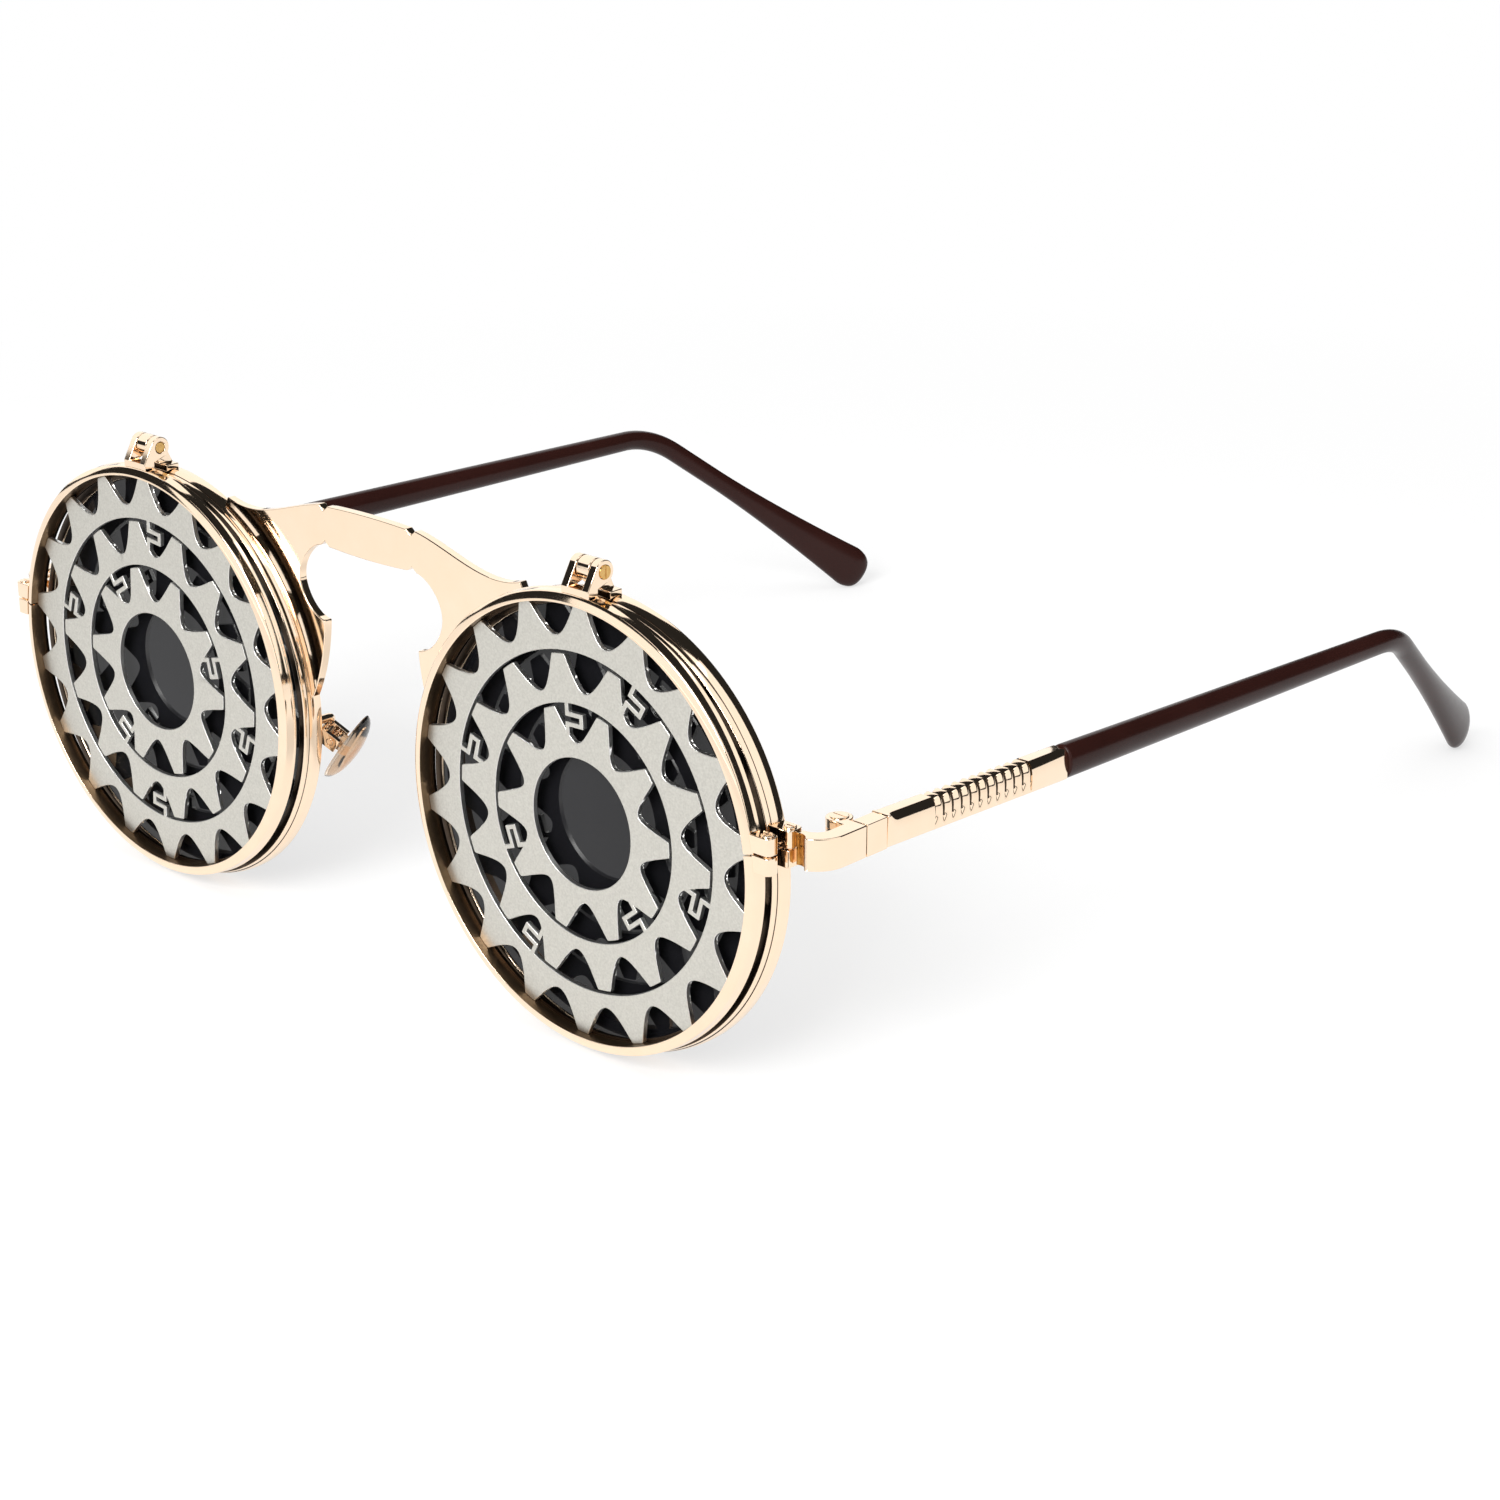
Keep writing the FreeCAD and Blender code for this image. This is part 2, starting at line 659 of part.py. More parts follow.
def make_temple_sleeve(drop, tip_in):
    turn = bar_turn(drop)
    direction = turn.multVec(BACK)
    bar_end = bar_start + turn.multVec(Vector(-bar_thickness / 2, bar_length, 0))
    start = bar_end + direction * sleeve_joint_gap
    corner = bar_end + direction * sleeve_straight
    ground = -max(rim_outer_radius + rim_drop, flip_outer_radius)
    end = corner + Vector(-tip_in, sleeve_tip_back, 0)
    end.z = ground
    for settling in range(settling_rounds):
        sleeve = sleeve_loft(start, direction, corner, end)
        end.z += ground - sleeve.optimalBoundingBox(False).ZMin
    sleeve = sleeve_loft(start, direction, corner, end)
    bore_depth = tang_length + 2 * tang_clearance
    return sleeve.cut(Part.makeCylinder(tang_radius + tang_clearance, bore_depth, bar_end, direction))


def make_bridge():
    """Half of the bridge's outline from the crown round to the arch, mirrored, cut to the rims."""
    front = rim_front + bridge_setback

    def at(x, z):
        return Vector(x, front, z)

    def curve(points):
        spline = Part.BSplineCurve()
        spline.interpolate(points)
        return spline.toShape()

    def on_rim(degrees, proud):
        angle = math.radians(degrees)
        reach = rim_outer_radius + proud
        return at(eye_x - reach * math.cos(angle), reach * math.sin(angle) - rim_drop)

    tip = on_rim(bridge_claw_angle, bridge_claw_proud)
    tip_root = on_rim(bridge_claw_angle, -rim_wall)
    tail = on_rim(bridge_tail_angle, bridge_tail_proud)
    tail_root = on_rim(bridge_tail_angle, -rim_wall)
    crown_z = tip.z + bridge_crown_rise
    arch_z = crown_z - bridge_depth
    notch_in = bridge_notch_place - bridge_notch_half
    notch_out = bridge_notch_place + bridge_notch_half
    crown = at(0, crown_z)
    crown_side = at(notch_in / 2, crown_z - bridge_crown_fall / 4)
    crown_at_notch = crown_z - bridge_crown_fall
    crown_notch = at(bridge_notch_place, crown_z - bridge_notch_depth)
    shoulder = at(bridge_shoulder_place, crown_z - bridge_shoulder_drop)
    waist = at(tip.x - bridge_waist_back, tip.z - bridge_waist_drop)
    barb = at(bridge_barb_place, arch_z - bridge_barb_drop)
    tail_bow = at(tail.x - bridge_tail_bow, (tail.z + barb.z) / 2)
    arch_widest = at(bridge_arch_half, arch_z - bridge_arch_side_drop)
    side_bow = at(bridge_arch_half - bridge_side_bow, (barb.z + arch_widest.z) / 2 - bridge_side_drop)
    corner = at(bridge_corner_place, arch_z - bridge_corner_drop)
    arch = at(0, arch_z)
    arch_side = at(notch_in / 2, arch_z + bridge_arch_fall / 4)
    arch_at_notch = arch_z + bridge_arch_fall
    arch_notch = at(bridge_notch_place, arch_z + bridge_notch_depth)
    edges = [curve([crown, crown_side, at(notch_in, crown_at_notch)]),
             line(at(notch_in, crown_at_notch), crown_notch),
             line(crown_notch, at(notch_out, crown_at_notch)),
             curve([at(notch_out, crown_at_notch), shoulder, waist, tip]),
             line(tip, tip_root),
             line(tip_root, tail_root),
             line(tail_root, tail),
             curve([tail, tail_bow, barb]),
             curve([barb, side_bow, arch_widest, corner, at(notch_out, arch_at_notch)]),
             line(at(notch_out, arch_at_notch), arch_notch),
             line(arch_notch, at(notch_in, arch_at_notch)),
             curve([at(notch_in, arch_at_notch), arch_side, arch]),
             line(arch, crown)]
    half = Part.Face(Part.Wire(edges)).extrude(BACK * bridge_thickness).cut(rim_envelope)
    half = [s for s in half.Solids if s.BoundBox.XMin < bridge_barb_place][0]
    return half.fuse(half.mirror(Vector(0, 0, 0), OUT)).removeSplitter()


pad_turn = Rotation(BACK, -pad_frontal_angle).multiply(Rotation(UP, -pad_splay_angle))
pad_frame = Placement(Vector(pad_across, pad_back, pad_rise), pad_turn)
pad_pivot = pad_frame.multVec(Vector(pad_pivot_reach, 0, 0))
pad_pivot_axis = pad_turn.multVec(BACK)


def set_on_pad(shape):
    """Move a shape from the pad's own frame, where -X is the nose and Z the pad's length, to its place."""
    shape.Placement = pad_frame.multiply(shape.Placement)
    return shape


def pad_screw_bore():
    radius = pad_screw_radius + pivot_clearance
    return Part.makeCylinder(radius, 2 * FAR, Vector(pad_pivot_reach, -FAR, 0), BACK)


def make_nose_pad():
    stretch = FreeCAD.Matrix()
    stretch.scale(pad_crown, pad_half_width, pad_half_length)
    pad = Part.makeSphere(1).transformGeometry(stretch)
    pad = pad.cut(box(0, FAR, -FAR, FAR, -FAR, FAR))
    half = pad_stub_width / 2
    stub = box(-pad_crown / 2, pad_pivot_reach, -half, half, -pad_stub_radius, pad_stub_radius)
    nose = Part.makeCylinder(pad_stub_radius, pad_stub_width, Vector(pad_pivot_reach, -half, 0), BACK)
    pad = pad.multiFuse([stub, nose]).cut(pad_screw_bore())
    return set_on_pad(pad.removeSplitter())


def make_pad_arm():
    inner = pad_stub_width / 2 + pad_side_gap
    outer = inner + pad_cheek
    base = pad_pivot_reach + pad_stub_radius + pad_box_gap
    near = pad_pivot_reach - pad_cheek_half
    high = pad_cheek_half
    case = box(near, base + pad_box_base, -outer, outer, -high, high)
    case = case.cut(box(near, base, -inner, inner, -high, high)).cut(pad_screw_bore())
    case = set_on_pad(case)
    root = Vector(eye_x - (rim_lip_radius + rim_outer_radius) / 2, rim_back + braze_gap, pad_arm_root_rise)
    corner = root + BACK * pad_arm_run
    seat = pad_frame.multVec(Vector(base + pad_box_base / 2, 0, 0))
    down = (seat - corner).normalize()
    turn = BACK.getAngle(down)
    setback = pad_arm_bend * math.tan(turn / 2)
    bend_start = corner - BACK * setback
    bend_end = corner + down * setback
    bulge = (bend_start + bend_end) / 2 - corner
    bend_middle = corner + bulge.normalize() * (pad_arm_bend / math.cos(turn / 2) - pad_arm_bend)
    path = Part.Wire([line(root, bend_start), arc(bend_start, bend_middle, bend_end), line(bend_end, seat)])
    section = Part.Wire(Part.Circle(root, BACK, pad_arm_radius).toShape())
    wire = path.makePipeShell([section], True, False)
    hollow = box(near, base, -inner, inner, -high, high)
    wire = wire.cut(set_on_pad(hollow))
    return wire.fuse(case).removeSplitter()


def make_pad_screw():
    inner = pad_stub_width / 2 + pad_side_gap
    length = 2 * (inner + pad_cheek)
    screw = slotted_head(pad_screw_head_radius, pad_screw_head)
    screw = screw.fuse(Part.makeCylinder(pad_screw_radius, length, Vector(0, 0, -length))).removeSplitter()
    screw.rotate(Vector(0, 0, 0), OUT, -90)
    screw.translate(Vector(pad_pivot_reach, inner + pad_cheek + braze_gap, 0))
    return set_on_pad(screw)


left_pieces = {
    "rear_rim": make_rear_rim(),
    "lens": make_lens(),
    "rim_lock": make_lock(rim_outer_radius, rim_front, rim_back, rim_envelope, lock_slit),
    "rim_screw": make_lock_screw(rim_outer_radius, rim_front, rim_back),
    "endpiece": make_endpiece(),
    "temple_hinge_screw": make_temple_hinge_screw(),
    "flip_knuckle": make_flip_knuckle(),
    "pad_arm": make_pad_arm(),
    "pad_screw": make_pad_screw(),
    "nose_pad": make_nose_pad(),
    "flip_ring": make_flip_ring(),
    "flip_lock": make_lock(flip_outer_radius, flip_front, flip_back, flip_envelope, 0),
    "flip_ring_screw": make_lock_screw(flip_outer_radius, flip_front, flip_back),
    "flip_leaf": make_flip_leaf(),
    "flip_hinge_screw": make_flip_hinge_screw(),
}
plate = make_gear_plate()
pieces = {"bridge": make_bridge()}
pieces["gear_plate_left"] = placed_plate(plate, 1, 0)
pieces["gear_plate_right"] = placed_plate(plate, -1, right_plate_turn)
pieces["temple_bar_left"] = make_temple_bar(left_drop_angle)
pieces["temple_sleeve_left"] = make_temple_sleeve(left_drop_angle, left_tip_in)
right_bar = make_temple_bar(right_drop_angle)
right_sleeve = make_temple_sleeve(right_drop_angle, right_tip_in)
pieces["temple_bar_right"] = right_bar.mirror(Vector(0, 0, 0), OUT)
pieces["temple_sleeve_right"] = right_sleeve.mirror(Vector(0, 0, 0), OUT)
for name, shape in left_pieces.items():
    pieces[name + "_left"] = shape
    pieces[name + "_right"] = shape.mirror(Vector(0, 0, 0), OUT)

# Set the whole down on the ground, with the middle of its depth over the origin
whole = Part.makeCompound(list(pieces.values()))
extent = whole.optimalBoundingBox(False)
set_down = Vector(0, -(extent.YMin + extent.YMax) / 2, -extent.ZMin)
os.makedirs("parts", exist_ok=True)
for name, shape in sorted(pieces.items()):
    shape.translate(set_down)
    print(name, len(shape.Solids), shape.isValid(), round(shape.Volume, 3))
    shape.exportStep("parts/" + name + ".step")

print("extent", extent.XLength, extent.YLength, extent.ZLength)
print("set down by", set_down)
print("flip axis", Vector(eye_x, flip_axis_back, flip_axis_z) + set_down)
print("temple axis", Vector(hinge_x, hinge_y, lock_level) + set_down)
print("pad axis", pad_pivot + set_down, pad_pivot_axis)
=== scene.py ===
import json
import math

import bmesh
import bpy
from mathutils import Matrix, Vector


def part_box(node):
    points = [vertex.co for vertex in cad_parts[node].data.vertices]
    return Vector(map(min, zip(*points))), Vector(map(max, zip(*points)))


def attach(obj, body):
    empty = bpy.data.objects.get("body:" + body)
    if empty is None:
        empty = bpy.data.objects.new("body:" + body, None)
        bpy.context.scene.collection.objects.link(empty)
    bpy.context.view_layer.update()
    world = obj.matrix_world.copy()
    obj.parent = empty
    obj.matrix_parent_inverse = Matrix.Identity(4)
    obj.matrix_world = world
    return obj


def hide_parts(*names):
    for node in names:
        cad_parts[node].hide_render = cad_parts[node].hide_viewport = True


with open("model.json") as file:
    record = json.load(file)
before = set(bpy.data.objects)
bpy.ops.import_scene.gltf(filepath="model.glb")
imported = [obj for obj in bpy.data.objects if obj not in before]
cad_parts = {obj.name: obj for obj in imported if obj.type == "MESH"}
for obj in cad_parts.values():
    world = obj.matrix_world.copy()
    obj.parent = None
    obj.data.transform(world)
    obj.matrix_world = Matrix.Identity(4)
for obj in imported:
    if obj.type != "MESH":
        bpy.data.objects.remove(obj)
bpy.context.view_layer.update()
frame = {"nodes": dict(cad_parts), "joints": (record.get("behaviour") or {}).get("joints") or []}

# The view is from the wearer's left and a little above, through a long lens.
# The place and the turns of the camera are those of the picture the object is matched to.
mm = 0.001
camera_place = Vector((229.146, -259.318, 133.068)) * mm
camera_turn = math.radians(42.421)
camera_rise = math.radians(20.357)
camera_roll = math.radians(0.1185)
focal_length = 70.46
sensor_width = 36
nearest_sight = 10 * mm
bpy.ops.object.camera_add(location=camera_place)
camera = bpy.context.object
aim = Matrix.Rotation(camera_turn, 3, "Z") @ Matrix.Rotation(math.pi / 2 - camera_rise, 3, "X")
camera.rotation_euler = (aim @ Matrix.Rotation(camera_roll, 3, "Z")).to_euler()
camera.data.lens = focal_length
camera.data.sensor_width = sensor_width
camera.data.clip_start = nearest_sight
bpy.context.scene.camera = camera
bpy.context.scene.view_settings.view_transform = "Standard"


# The studio is a white table in a dim room. A strong soft box in front throws the shadows, a weak one
# hangs overhead, and bright panels on the left, on the right and low in front are seen only in
# polished surfaces, which mirror them as stripes.
class Value:
    """One output of a shader node; arithmetic on it adds Math nodes."""

    def __init__(self, surface, socket):
        self.surface = surface
        self.socket = socket

    def math(self, operation, first, second):
        return self.surface.node("ShaderNodeMath", {"operation": operation}, {0: first, 1: second})

    def __add__(self, other):
        return self.math("ADD", self, other)

    def __mul__(self, other):
        return self.math("MULTIPLY", self, other)

    __radd__ = __add__
    __rmul__ = __mul__


class Surface:
    """The node tree of a material or of the room's light."""

    def __init__(self, tree):
        self.tree = tree
        tree.nodes.clear()

    def node(self, kind, settings=None, sockets=None, output=0):
        made = self.tree.nodes.new(kind)
        for name, setting in (settings or {}).items():
            setattr(made, name, setting)
        for name, value in (sockets or {}).items():
            if isinstance(value, Value):
                self.tree.links.new(value.socket, made.inputs[name])
            else:
                made.inputs[name].default_value = value
        return Value(self, made.outputs[output]) if made.outputs else None

    def seen_directly(self):
        """1 on rays that come from the camera, from a mirror or through glass, 0 on others."""
        rays = [self.node("ShaderNodeLightPath", output=name)
                for name in ("Is Camera Ray", "Is Glossy Ray", "Is Transmission Ray")]
        return self.node("ShaderNodeClamp", None, {"Value": rays[0] + rays[1] + rays[2]})


white = (1, 1, 1, 1)
table_paint = (0.8, 0.8, 0.8, 1)
table_tone = (0.4, 0.4, 0.4, 1)
table_glow = 0.59
table_near = 0.12
table_far = 0.3
table_radius = 1.6
table_drop = 0.05 * mm
bpy.ops.object.select_all(action="DESELECT")
bpy.ops.mesh.primitive_circle_add(vertices=96, radius=table_radius, fill_type="NGON",
                                  location=(0, 0, -table_drop))
table = bpy.context.object
table.name = "table"
table.data.materials.append(bpy.data.materials.new("white_table"))
table.data.materials[0].use_nodes = True
cover = Surface(table.data.materials[0].node_tree)
bounce = cover.node("ShaderNodeBsdfDiffuse", None, {"Color": table_paint})
shaded = cover.node("ShaderNodeBsdfDiffuse", None, {"Color": table_tone})
glow = cover.node("ShaderNodeEmission", None, {"Color": white, "Strength": table_glow})
lit = cover.node("ShaderNodeAddShader", None, {0: shaded, 1: glow})
away = cover.node("ShaderNodeVectorMath", {"operation": "LENGTH"},
                  {0: cover.node("ShaderNodeTexCoord", output="Object")}, output=1)
fade = cover.node("ShaderNodeMapRange", None,
                  {"Value": away, "From Min": table_near, "From Max": table_far})
blank = cover.node("ShaderNodeEmission", None, {"Color": white, "Strength": 1})
spread = cover.node("ShaderNodeMixShader", None, {0: fade, 1: lit, 2: blank})
look = cover.node("ShaderNodeMixShader", None, {0: cover.seen_directly(), 1: bounce, 2: spread})
cover.node("ShaderNodeOutputMaterial", None, {"Surface": look})

room_in_mirrors = 0.02
room_fill = 0.6
bpy.context.scene.world = bpy.data.worlds.new("room")
bpy.context.scene.world.use_nodes = True
room = Surface(bpy.context.scene.world.node_tree)
straight = (room.node("ShaderNodeLightPath", output="Is Camera Ray")
            + room.node("ShaderNodeLightPath", output="Is Transmission Ray"))
mirrored_room = room.node("ShaderNodeLightPath", output="Is Glossy Ray") * room_in_mirrors
filling = room.node("ShaderNodeLightPath", output="Is Diffuse Ray") * room_fill
daylight = room.node("ShaderNodeBackground", None,
                     {"Color": white, "Strength": straight + mirrored_room + filling})
room.node("ShaderNodeOutputWorld", None, {"Surface": daylight})

for name, turn, rise, distance, width, height, brightness, shades in (
        ("left_panel", -75, 30, 0.95, 1.85, 0.95, 1.15, False),
        ("front_box", 165, 33, 0.95, 0.5, 0.4, 13, True),
        ("top_box", 150, 76, 0.95, 0.7, 0.5, 1.3, True),
        ("right_panel", 82, 40, 0.95, 0.7, 1.35, 1.1, False),
        ("front_card", 180, 8, 0.95, 1.6, 0.42, 1.1, False)):
    heading = Vector((math.sin(math.radians(turn)) * math.cos(math.radians(rise)),
                      math.cos(math.radians(turn)) * math.cos(math.radians(rise)),
                      math.sin(math.radians(rise))))
    bpy.ops.object.light_add(type="AREA", location=heading * distance)
    lamp = bpy.context.object
    lamp.name = name
    lamp.rotation_euler = heading.to_track_quat("Z", "Y").to_euler()
    lamp.data.shape = "RECTANGLE"
    lamp.data.size = width
    lamp.data.size_y = height
    lamp.data.energy = brightness * math.pi * width * height
    lamp.visible_diffuse = shades


# Rear rims: two rings of gold-plated wire, drawn with a groove for the lens and an outside that slopes
# to a square back, bent round and polished, and closed at the temple side, where a narrow slit is left.
def new_surface(name):
    material = bpy.data.materials.new(name)
    material.use_nodes = True
    return material, Surface(material.node_tree)


def noise(surface, scale, detail):
    """A fine cloudy pattern that is fixed to the piece."""
    place = surface.node("ShaderNodeTexCoord", output="Object")
    return surface.node("ShaderNodeTexNoise", None, {"Vector": place, "Scale": scale, "Detail": detail})


def tinted(surface, pattern, first, second):
    """A colour that wanders between two tints."""
    return surface.node("ShaderNodeMix", {"data_type": "RGBA"},
                        {0: pattern, 6: (*first, 1), 7: (*second, 1)}, output=2)


def coat(surface, sockets):
    shader = surface.node("ShaderNodeBsdfPrincipled", None, sockets)
    surface.node("ShaderNodeOutputMaterial", None, {"Surface": shader})


def mottled(name, scale, detail, tints, roughness, sockets):
    """A finish whose tint and roughness both follow one pattern, each between two values."""
    material, surface = new_surface(name)
    pattern = noise(surface, scale, detail)
    least, most = roughness
    coat(surface, {"Base Color": tinted(surface, pattern, *tints),
                   "Roughness": pattern * (most - least) + least, **sockets})
    return material


def polished_gold():
    """Pale champagne-gold plating: a mirror with a trace of polishing haze and of waviness."""
    material, surface = new_surface("champagne_gold")
    clouds = noise(surface, 320, 3)
    haze = noise(surface, 2600, 2)
    wave = noise(surface, 180, 1)
    ripple = surface.node("ShaderNodeBump", None,
                          {"Height": wave, "Strength": 0.05, "Distance": 0.02 * mm})
    coat(surface, {"Base Color": tinted(surface, clouds, (0.985, 0.80, 0.615), (0.97, 0.75, 0.545)),
                   "Metallic": 1.0, "Roughness": haze * 0.05 + 0.045, "Normal": ripple})
    return material


def painted_shade_finish(name, tints):
    """Dark, dull metal that stands for gold in shade: painted shade."""
    return mottled(name, 700, 4, tints, (0.25, 0.45), {"Metallic": 1.0})


def take_up(piece):
    """Make this piece the only one selected."""
    bpy.ops.object.select_all(action="DESELECT")
    piece.select_set(True)
    bpy.context.view_layer.objects.active = piece


def drawn_outline(name, points):
    """Begin a piece as one point and extrude it from point to point; leaves it in edit mode."""
    bpy.ops.object.select_all(action="DESELECT")
    bpy.ops.mesh.primitive_plane_add(size=mm, location=points[0])
    bpy.context.object.name = name
    bpy.ops.object.mode_set(mode="EDIT")
    bpy.ops.mesh.select_mode(type="VERT")
    bpy.ops.mesh.merge(type="CENTER")
    for here, there in zip(points, points[1:]):
        bpy.ops.mesh.extrude_region_move(TRANSFORM_OT_translate={"value": there - here})
    return bpy.context.object


def close_up(smooth_angle):
    """Weld the piece in edit mode, turn its faces outwards and bring its place into its mesh."""
    bpy.ops.mesh.select_all(action="SELECT")
    bpy.ops.mesh.remove_doubles(threshold=tolerance)
    bpy.ops.mesh.select_all(action="SELECT")
    bpy.ops.mesh.fill_holes(sides=0)
    bpy.ops.mesh.select_all(action="SELECT")
    bpy.ops.mesh.normals_make_consistent(inside=False)
    bpy.ops.object.mode_set(mode="OBJECT")
    bpy.ops.object.transform_apply(location=True, rotation=True, scale=True)
    bpy.ops.object.shade_smooth_by_angle(angle=math.radians(smooth_angle))


def spun(name, centre, outline, steps, start=0.0, gap=0.0):
    """Draw (radius, depth) points beside the eye's axis and spin them round it, but for the gap."""
    ray = Vector((math.cos(start), 0, math.sin(start)))
    points = [Vector((centre.x, depth, centre.z)) + ray * radius for radius, depth in outline]
    piece = drawn_outline(name, points)
    bpy.ops.mesh.select_all(action="SELECT")
    bpy.ops.mesh.spin(steps=steps, angle=2 * math.pi - gap, center=centre, axis=(0, 1, 0))
    close_up(smooth_angle=40)
    return piece


def twin_of(piece, name):
    """The same piece for the other side of the nose, with a mesh of its own."""
    twin = bpy.data.objects.new(name, piece.data.copy())
    bpy.context.scene.collection.objects.link(twin)
    take_up(twin)
    twin.scale.x = -1
    bpy.ops.object.transform_apply(location=True, rotation=True, scale=True)
    bpy.ops.object.mode_set(mode="EDIT")
    bpy.ops.mesh.select_all(action="SELECT")
    bpy.ops.mesh.normals_make_consistent(inside=False)
    bpy.ops.object.mode_set(mode="OBJECT")
    return twin


def fit(piece, material, slot, body, *nodes):
    """Give the piece its finish, and let it stand for CAD nodes and move with their body."""
    piece.data.materials.clear()
    piece.data.materials.append(material)
    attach(piece, body)
    if nodes:
        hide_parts(*nodes)


def refinish(piece, material, chosen):
    """Give another finish to those faces of a piece that pass a test."""
    piece.data.materials.append(material)
    for face in piece.data.polygons:
        if chosen(face):
            face.material_index = len(piece.data.materials) - 1


def round_over(middle, radii, first, last, steps):
    """(radius, depth) points on an ellipse between two angles in degrees."""
    angles = [math.radians(first + (last - first) * step / steps) for step in range(steps + 1)]
    return [(middle[0] + radii[0] * math.cos(a), middle[1] + radii[1] * math.sin(a)) for a in angles]


def carried_on(points, arcs):
    """Carry a section on by arcs: radius, first and last angle in degrees, and steps of each."""
    for radius, first, last, steps in arcs:
        begin = math.radians(first)
        middle = (points[-1][0] - radius * math.cos(begin), points[-1][1] - radius * math.sin(begin))
        points = points + round_over(middle, (radius, radius), first, last, steps)[1:]
    return points


def scored(points):
    """Carry a section on by the fine lopsided line in the rim's outside."""
    along = Vector((math.sin(score_slope), math.cos(score_slope)))
    inwards = Vector((-along.y, along.x))
    begin = Vector(points[-1])
    deepest = begin + along * score_width * score_lean + inwards * score_depth
    return points + [tuple(deepest), tuple(begin + along * score_width)]


def rim_outline(lip, outer, front, back, groove):
    """Section of the rim: a flat front, an outside that slopes back with a fine line in the slope,
    a square back, and a groove between two rounded lips inside."""
    slope = carried_on(scored(carried_on([(0, 0)], rim_front_arcs)), rim_back_arcs)
    shoulder = outer - slope[-1][0]
    points = round_over((lip + lip_round, front + lip_round), (lip_round, lip_round), 180, 270, 4)
    points += [(radius + shoulder, depth + front) for radius, depth in slope]
    points += round_over((outer - back_round, back - back_round), (back_round, back_round), 0, 90, 4)
    points += round_over((lip + lip_round, back - lip_round), (lip_round, lip_round), 90, 180, 4)
    return points + groove + points[:1]


gold = polished_gold()
# Painted shade: a dark dull metal laid on gold faces in the valleys between the rings and in the grooves of
# the bars.
painted_shade = painted_shade_finish("painted_shade_dark", ((0.085, 0.058, 0.038), (0.04, 0.027, 0.018)))
tolerance = 0.001 * mm
ring_steps = 200
slit_height = 0.2 * mm
joint_places = {joint["name"]: joint["pos_m"] for joint in frame["joints"]}
slit_level = joint_places["temple_left_hinge"][2]
rim_front_arcs = ((0.12 * mm, -90, -23, 4), (5 * mm, -23, -20, 4))
rim_back_arcs = ((8 * mm, -20, -17, 4), (2 * mm, -17, 0, 6))
score_slope = math.radians(20)
score_width = 0.32 * mm
score_depth = 0.065 * mm
score_lean = 0.85
lip_round = 0.3 * mm
back_round = 0.2 * mm
rim_width = 1.5 * mm
facing_front = -0.75
rim_low, rim_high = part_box("rear_rim_left")
rim_centre = (rim_low + rim_high) / 2
rim_radius = (rim_high.z - rim_low.z) / 2
rim_lip = rim_radius - rim_width
lens_groove = 0.5 * mm
rim_groove = [(rim_lip, rim_centre.y + lens_groove), (rim_lip + lens_groove, rim_centre.y),
              (rim_lip, rim_centre.y - lens_groove)]
rim_slit = math.asin((slit_level - slit_height / 2 - rim_centre.z) / rim_radius)
rim = spun("polished_rim_left", rim_centre,
           rim_outline(rim_lip, rim_radius, rim_low.y, rim_high.y, rim_groove),
           ring_steps, rim_slit, slit_height / rim_radius)
rim_twin = twin_of(rim, "polished_rim_right")
for piece, side in ((rim, "left"), (rim_twin, "right")):
    fit(piece, gold, "gold", "frame", "rear_rim_" + side)
    # Painted shade: the rim's flat front, which lies in the valley behind the flip ring, is painted dark.
    refinish(piece, painted_shade, lambda face: face.normal.y < facing_front)


# Lenses: two nearly flat round panes of deeply tinted plastic under a hard gloss, ground to a
# bevelled edge that snaps into the groove of the rim.
tint = mottled("black_tint", 140, 4, ((0.006, 0.006, 0.007), (0.010, 0.010, 0.012)), (0.01, 0.04),
               {"IOR": 1.38})
lens_low, lens_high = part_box("lens_left")
lens_centre = (lens_low + lens_high) / 2
lens_edge = (lens_high.z - lens_low.z) / 2
lens_body = lens_edge - lens_groove
lens_dome = 0.15 * mm
dome_steps = 8
lens_steps = 128
dome = [(lens_body * step / dome_steps, lens_dome * (1 - (step / dome_steps) ** 2))
        for step in range(dome_steps + 1)]
lens_outline = [(radius, lens_low.y - rise) for radius, rise in dome]
lens_outline += [(lens_body, lens_centre.y - lens_groove), (lens_edge, lens_centre.y),
                 (lens_body, lens_centre.y + lens_groove)]
lens_outline += [(radius, lens_high.y - rise) for radius, rise in reversed(dome)]
lens = spun("tinted_lens_left", lens_centre, lens_outline, lens_steps)
fit(lens, tint, "lens", "frame", "lens_left")
fit(twin_of(lens, "tinted_lens_right"), tint, "lens", "frame", "lens_right")


# Closing blocks of the rims with their screws: small gold blocks brazed to both ends of the rim,
# drawn together by a slotted screw from above so that the rim grips the lens.
def welded_copy(node, name):
    """A copy of a CAD node with its triangles welded into whole faces."""
    piece = bpy.data.objects.new(name, frame["nodes"][node].data.copy())
    bpy.context.scene.collection.objects.link(piece)
    take_up(piece)
    bpy.ops.object.mode_set(mode="EDIT")
    bpy.ops.mesh.select_all(action="SELECT")
    bpy.ops.mesh.remove_doubles(threshold=0.002 * mm)
    bpy.ops.mesh.dissolve_limited(angle_limit=math.radians(0.2))
    bpy.ops.mesh.normals_make_consistent(inside=False)
    bpy.ops.object.mode_set(mode="OBJECT")
    return piece


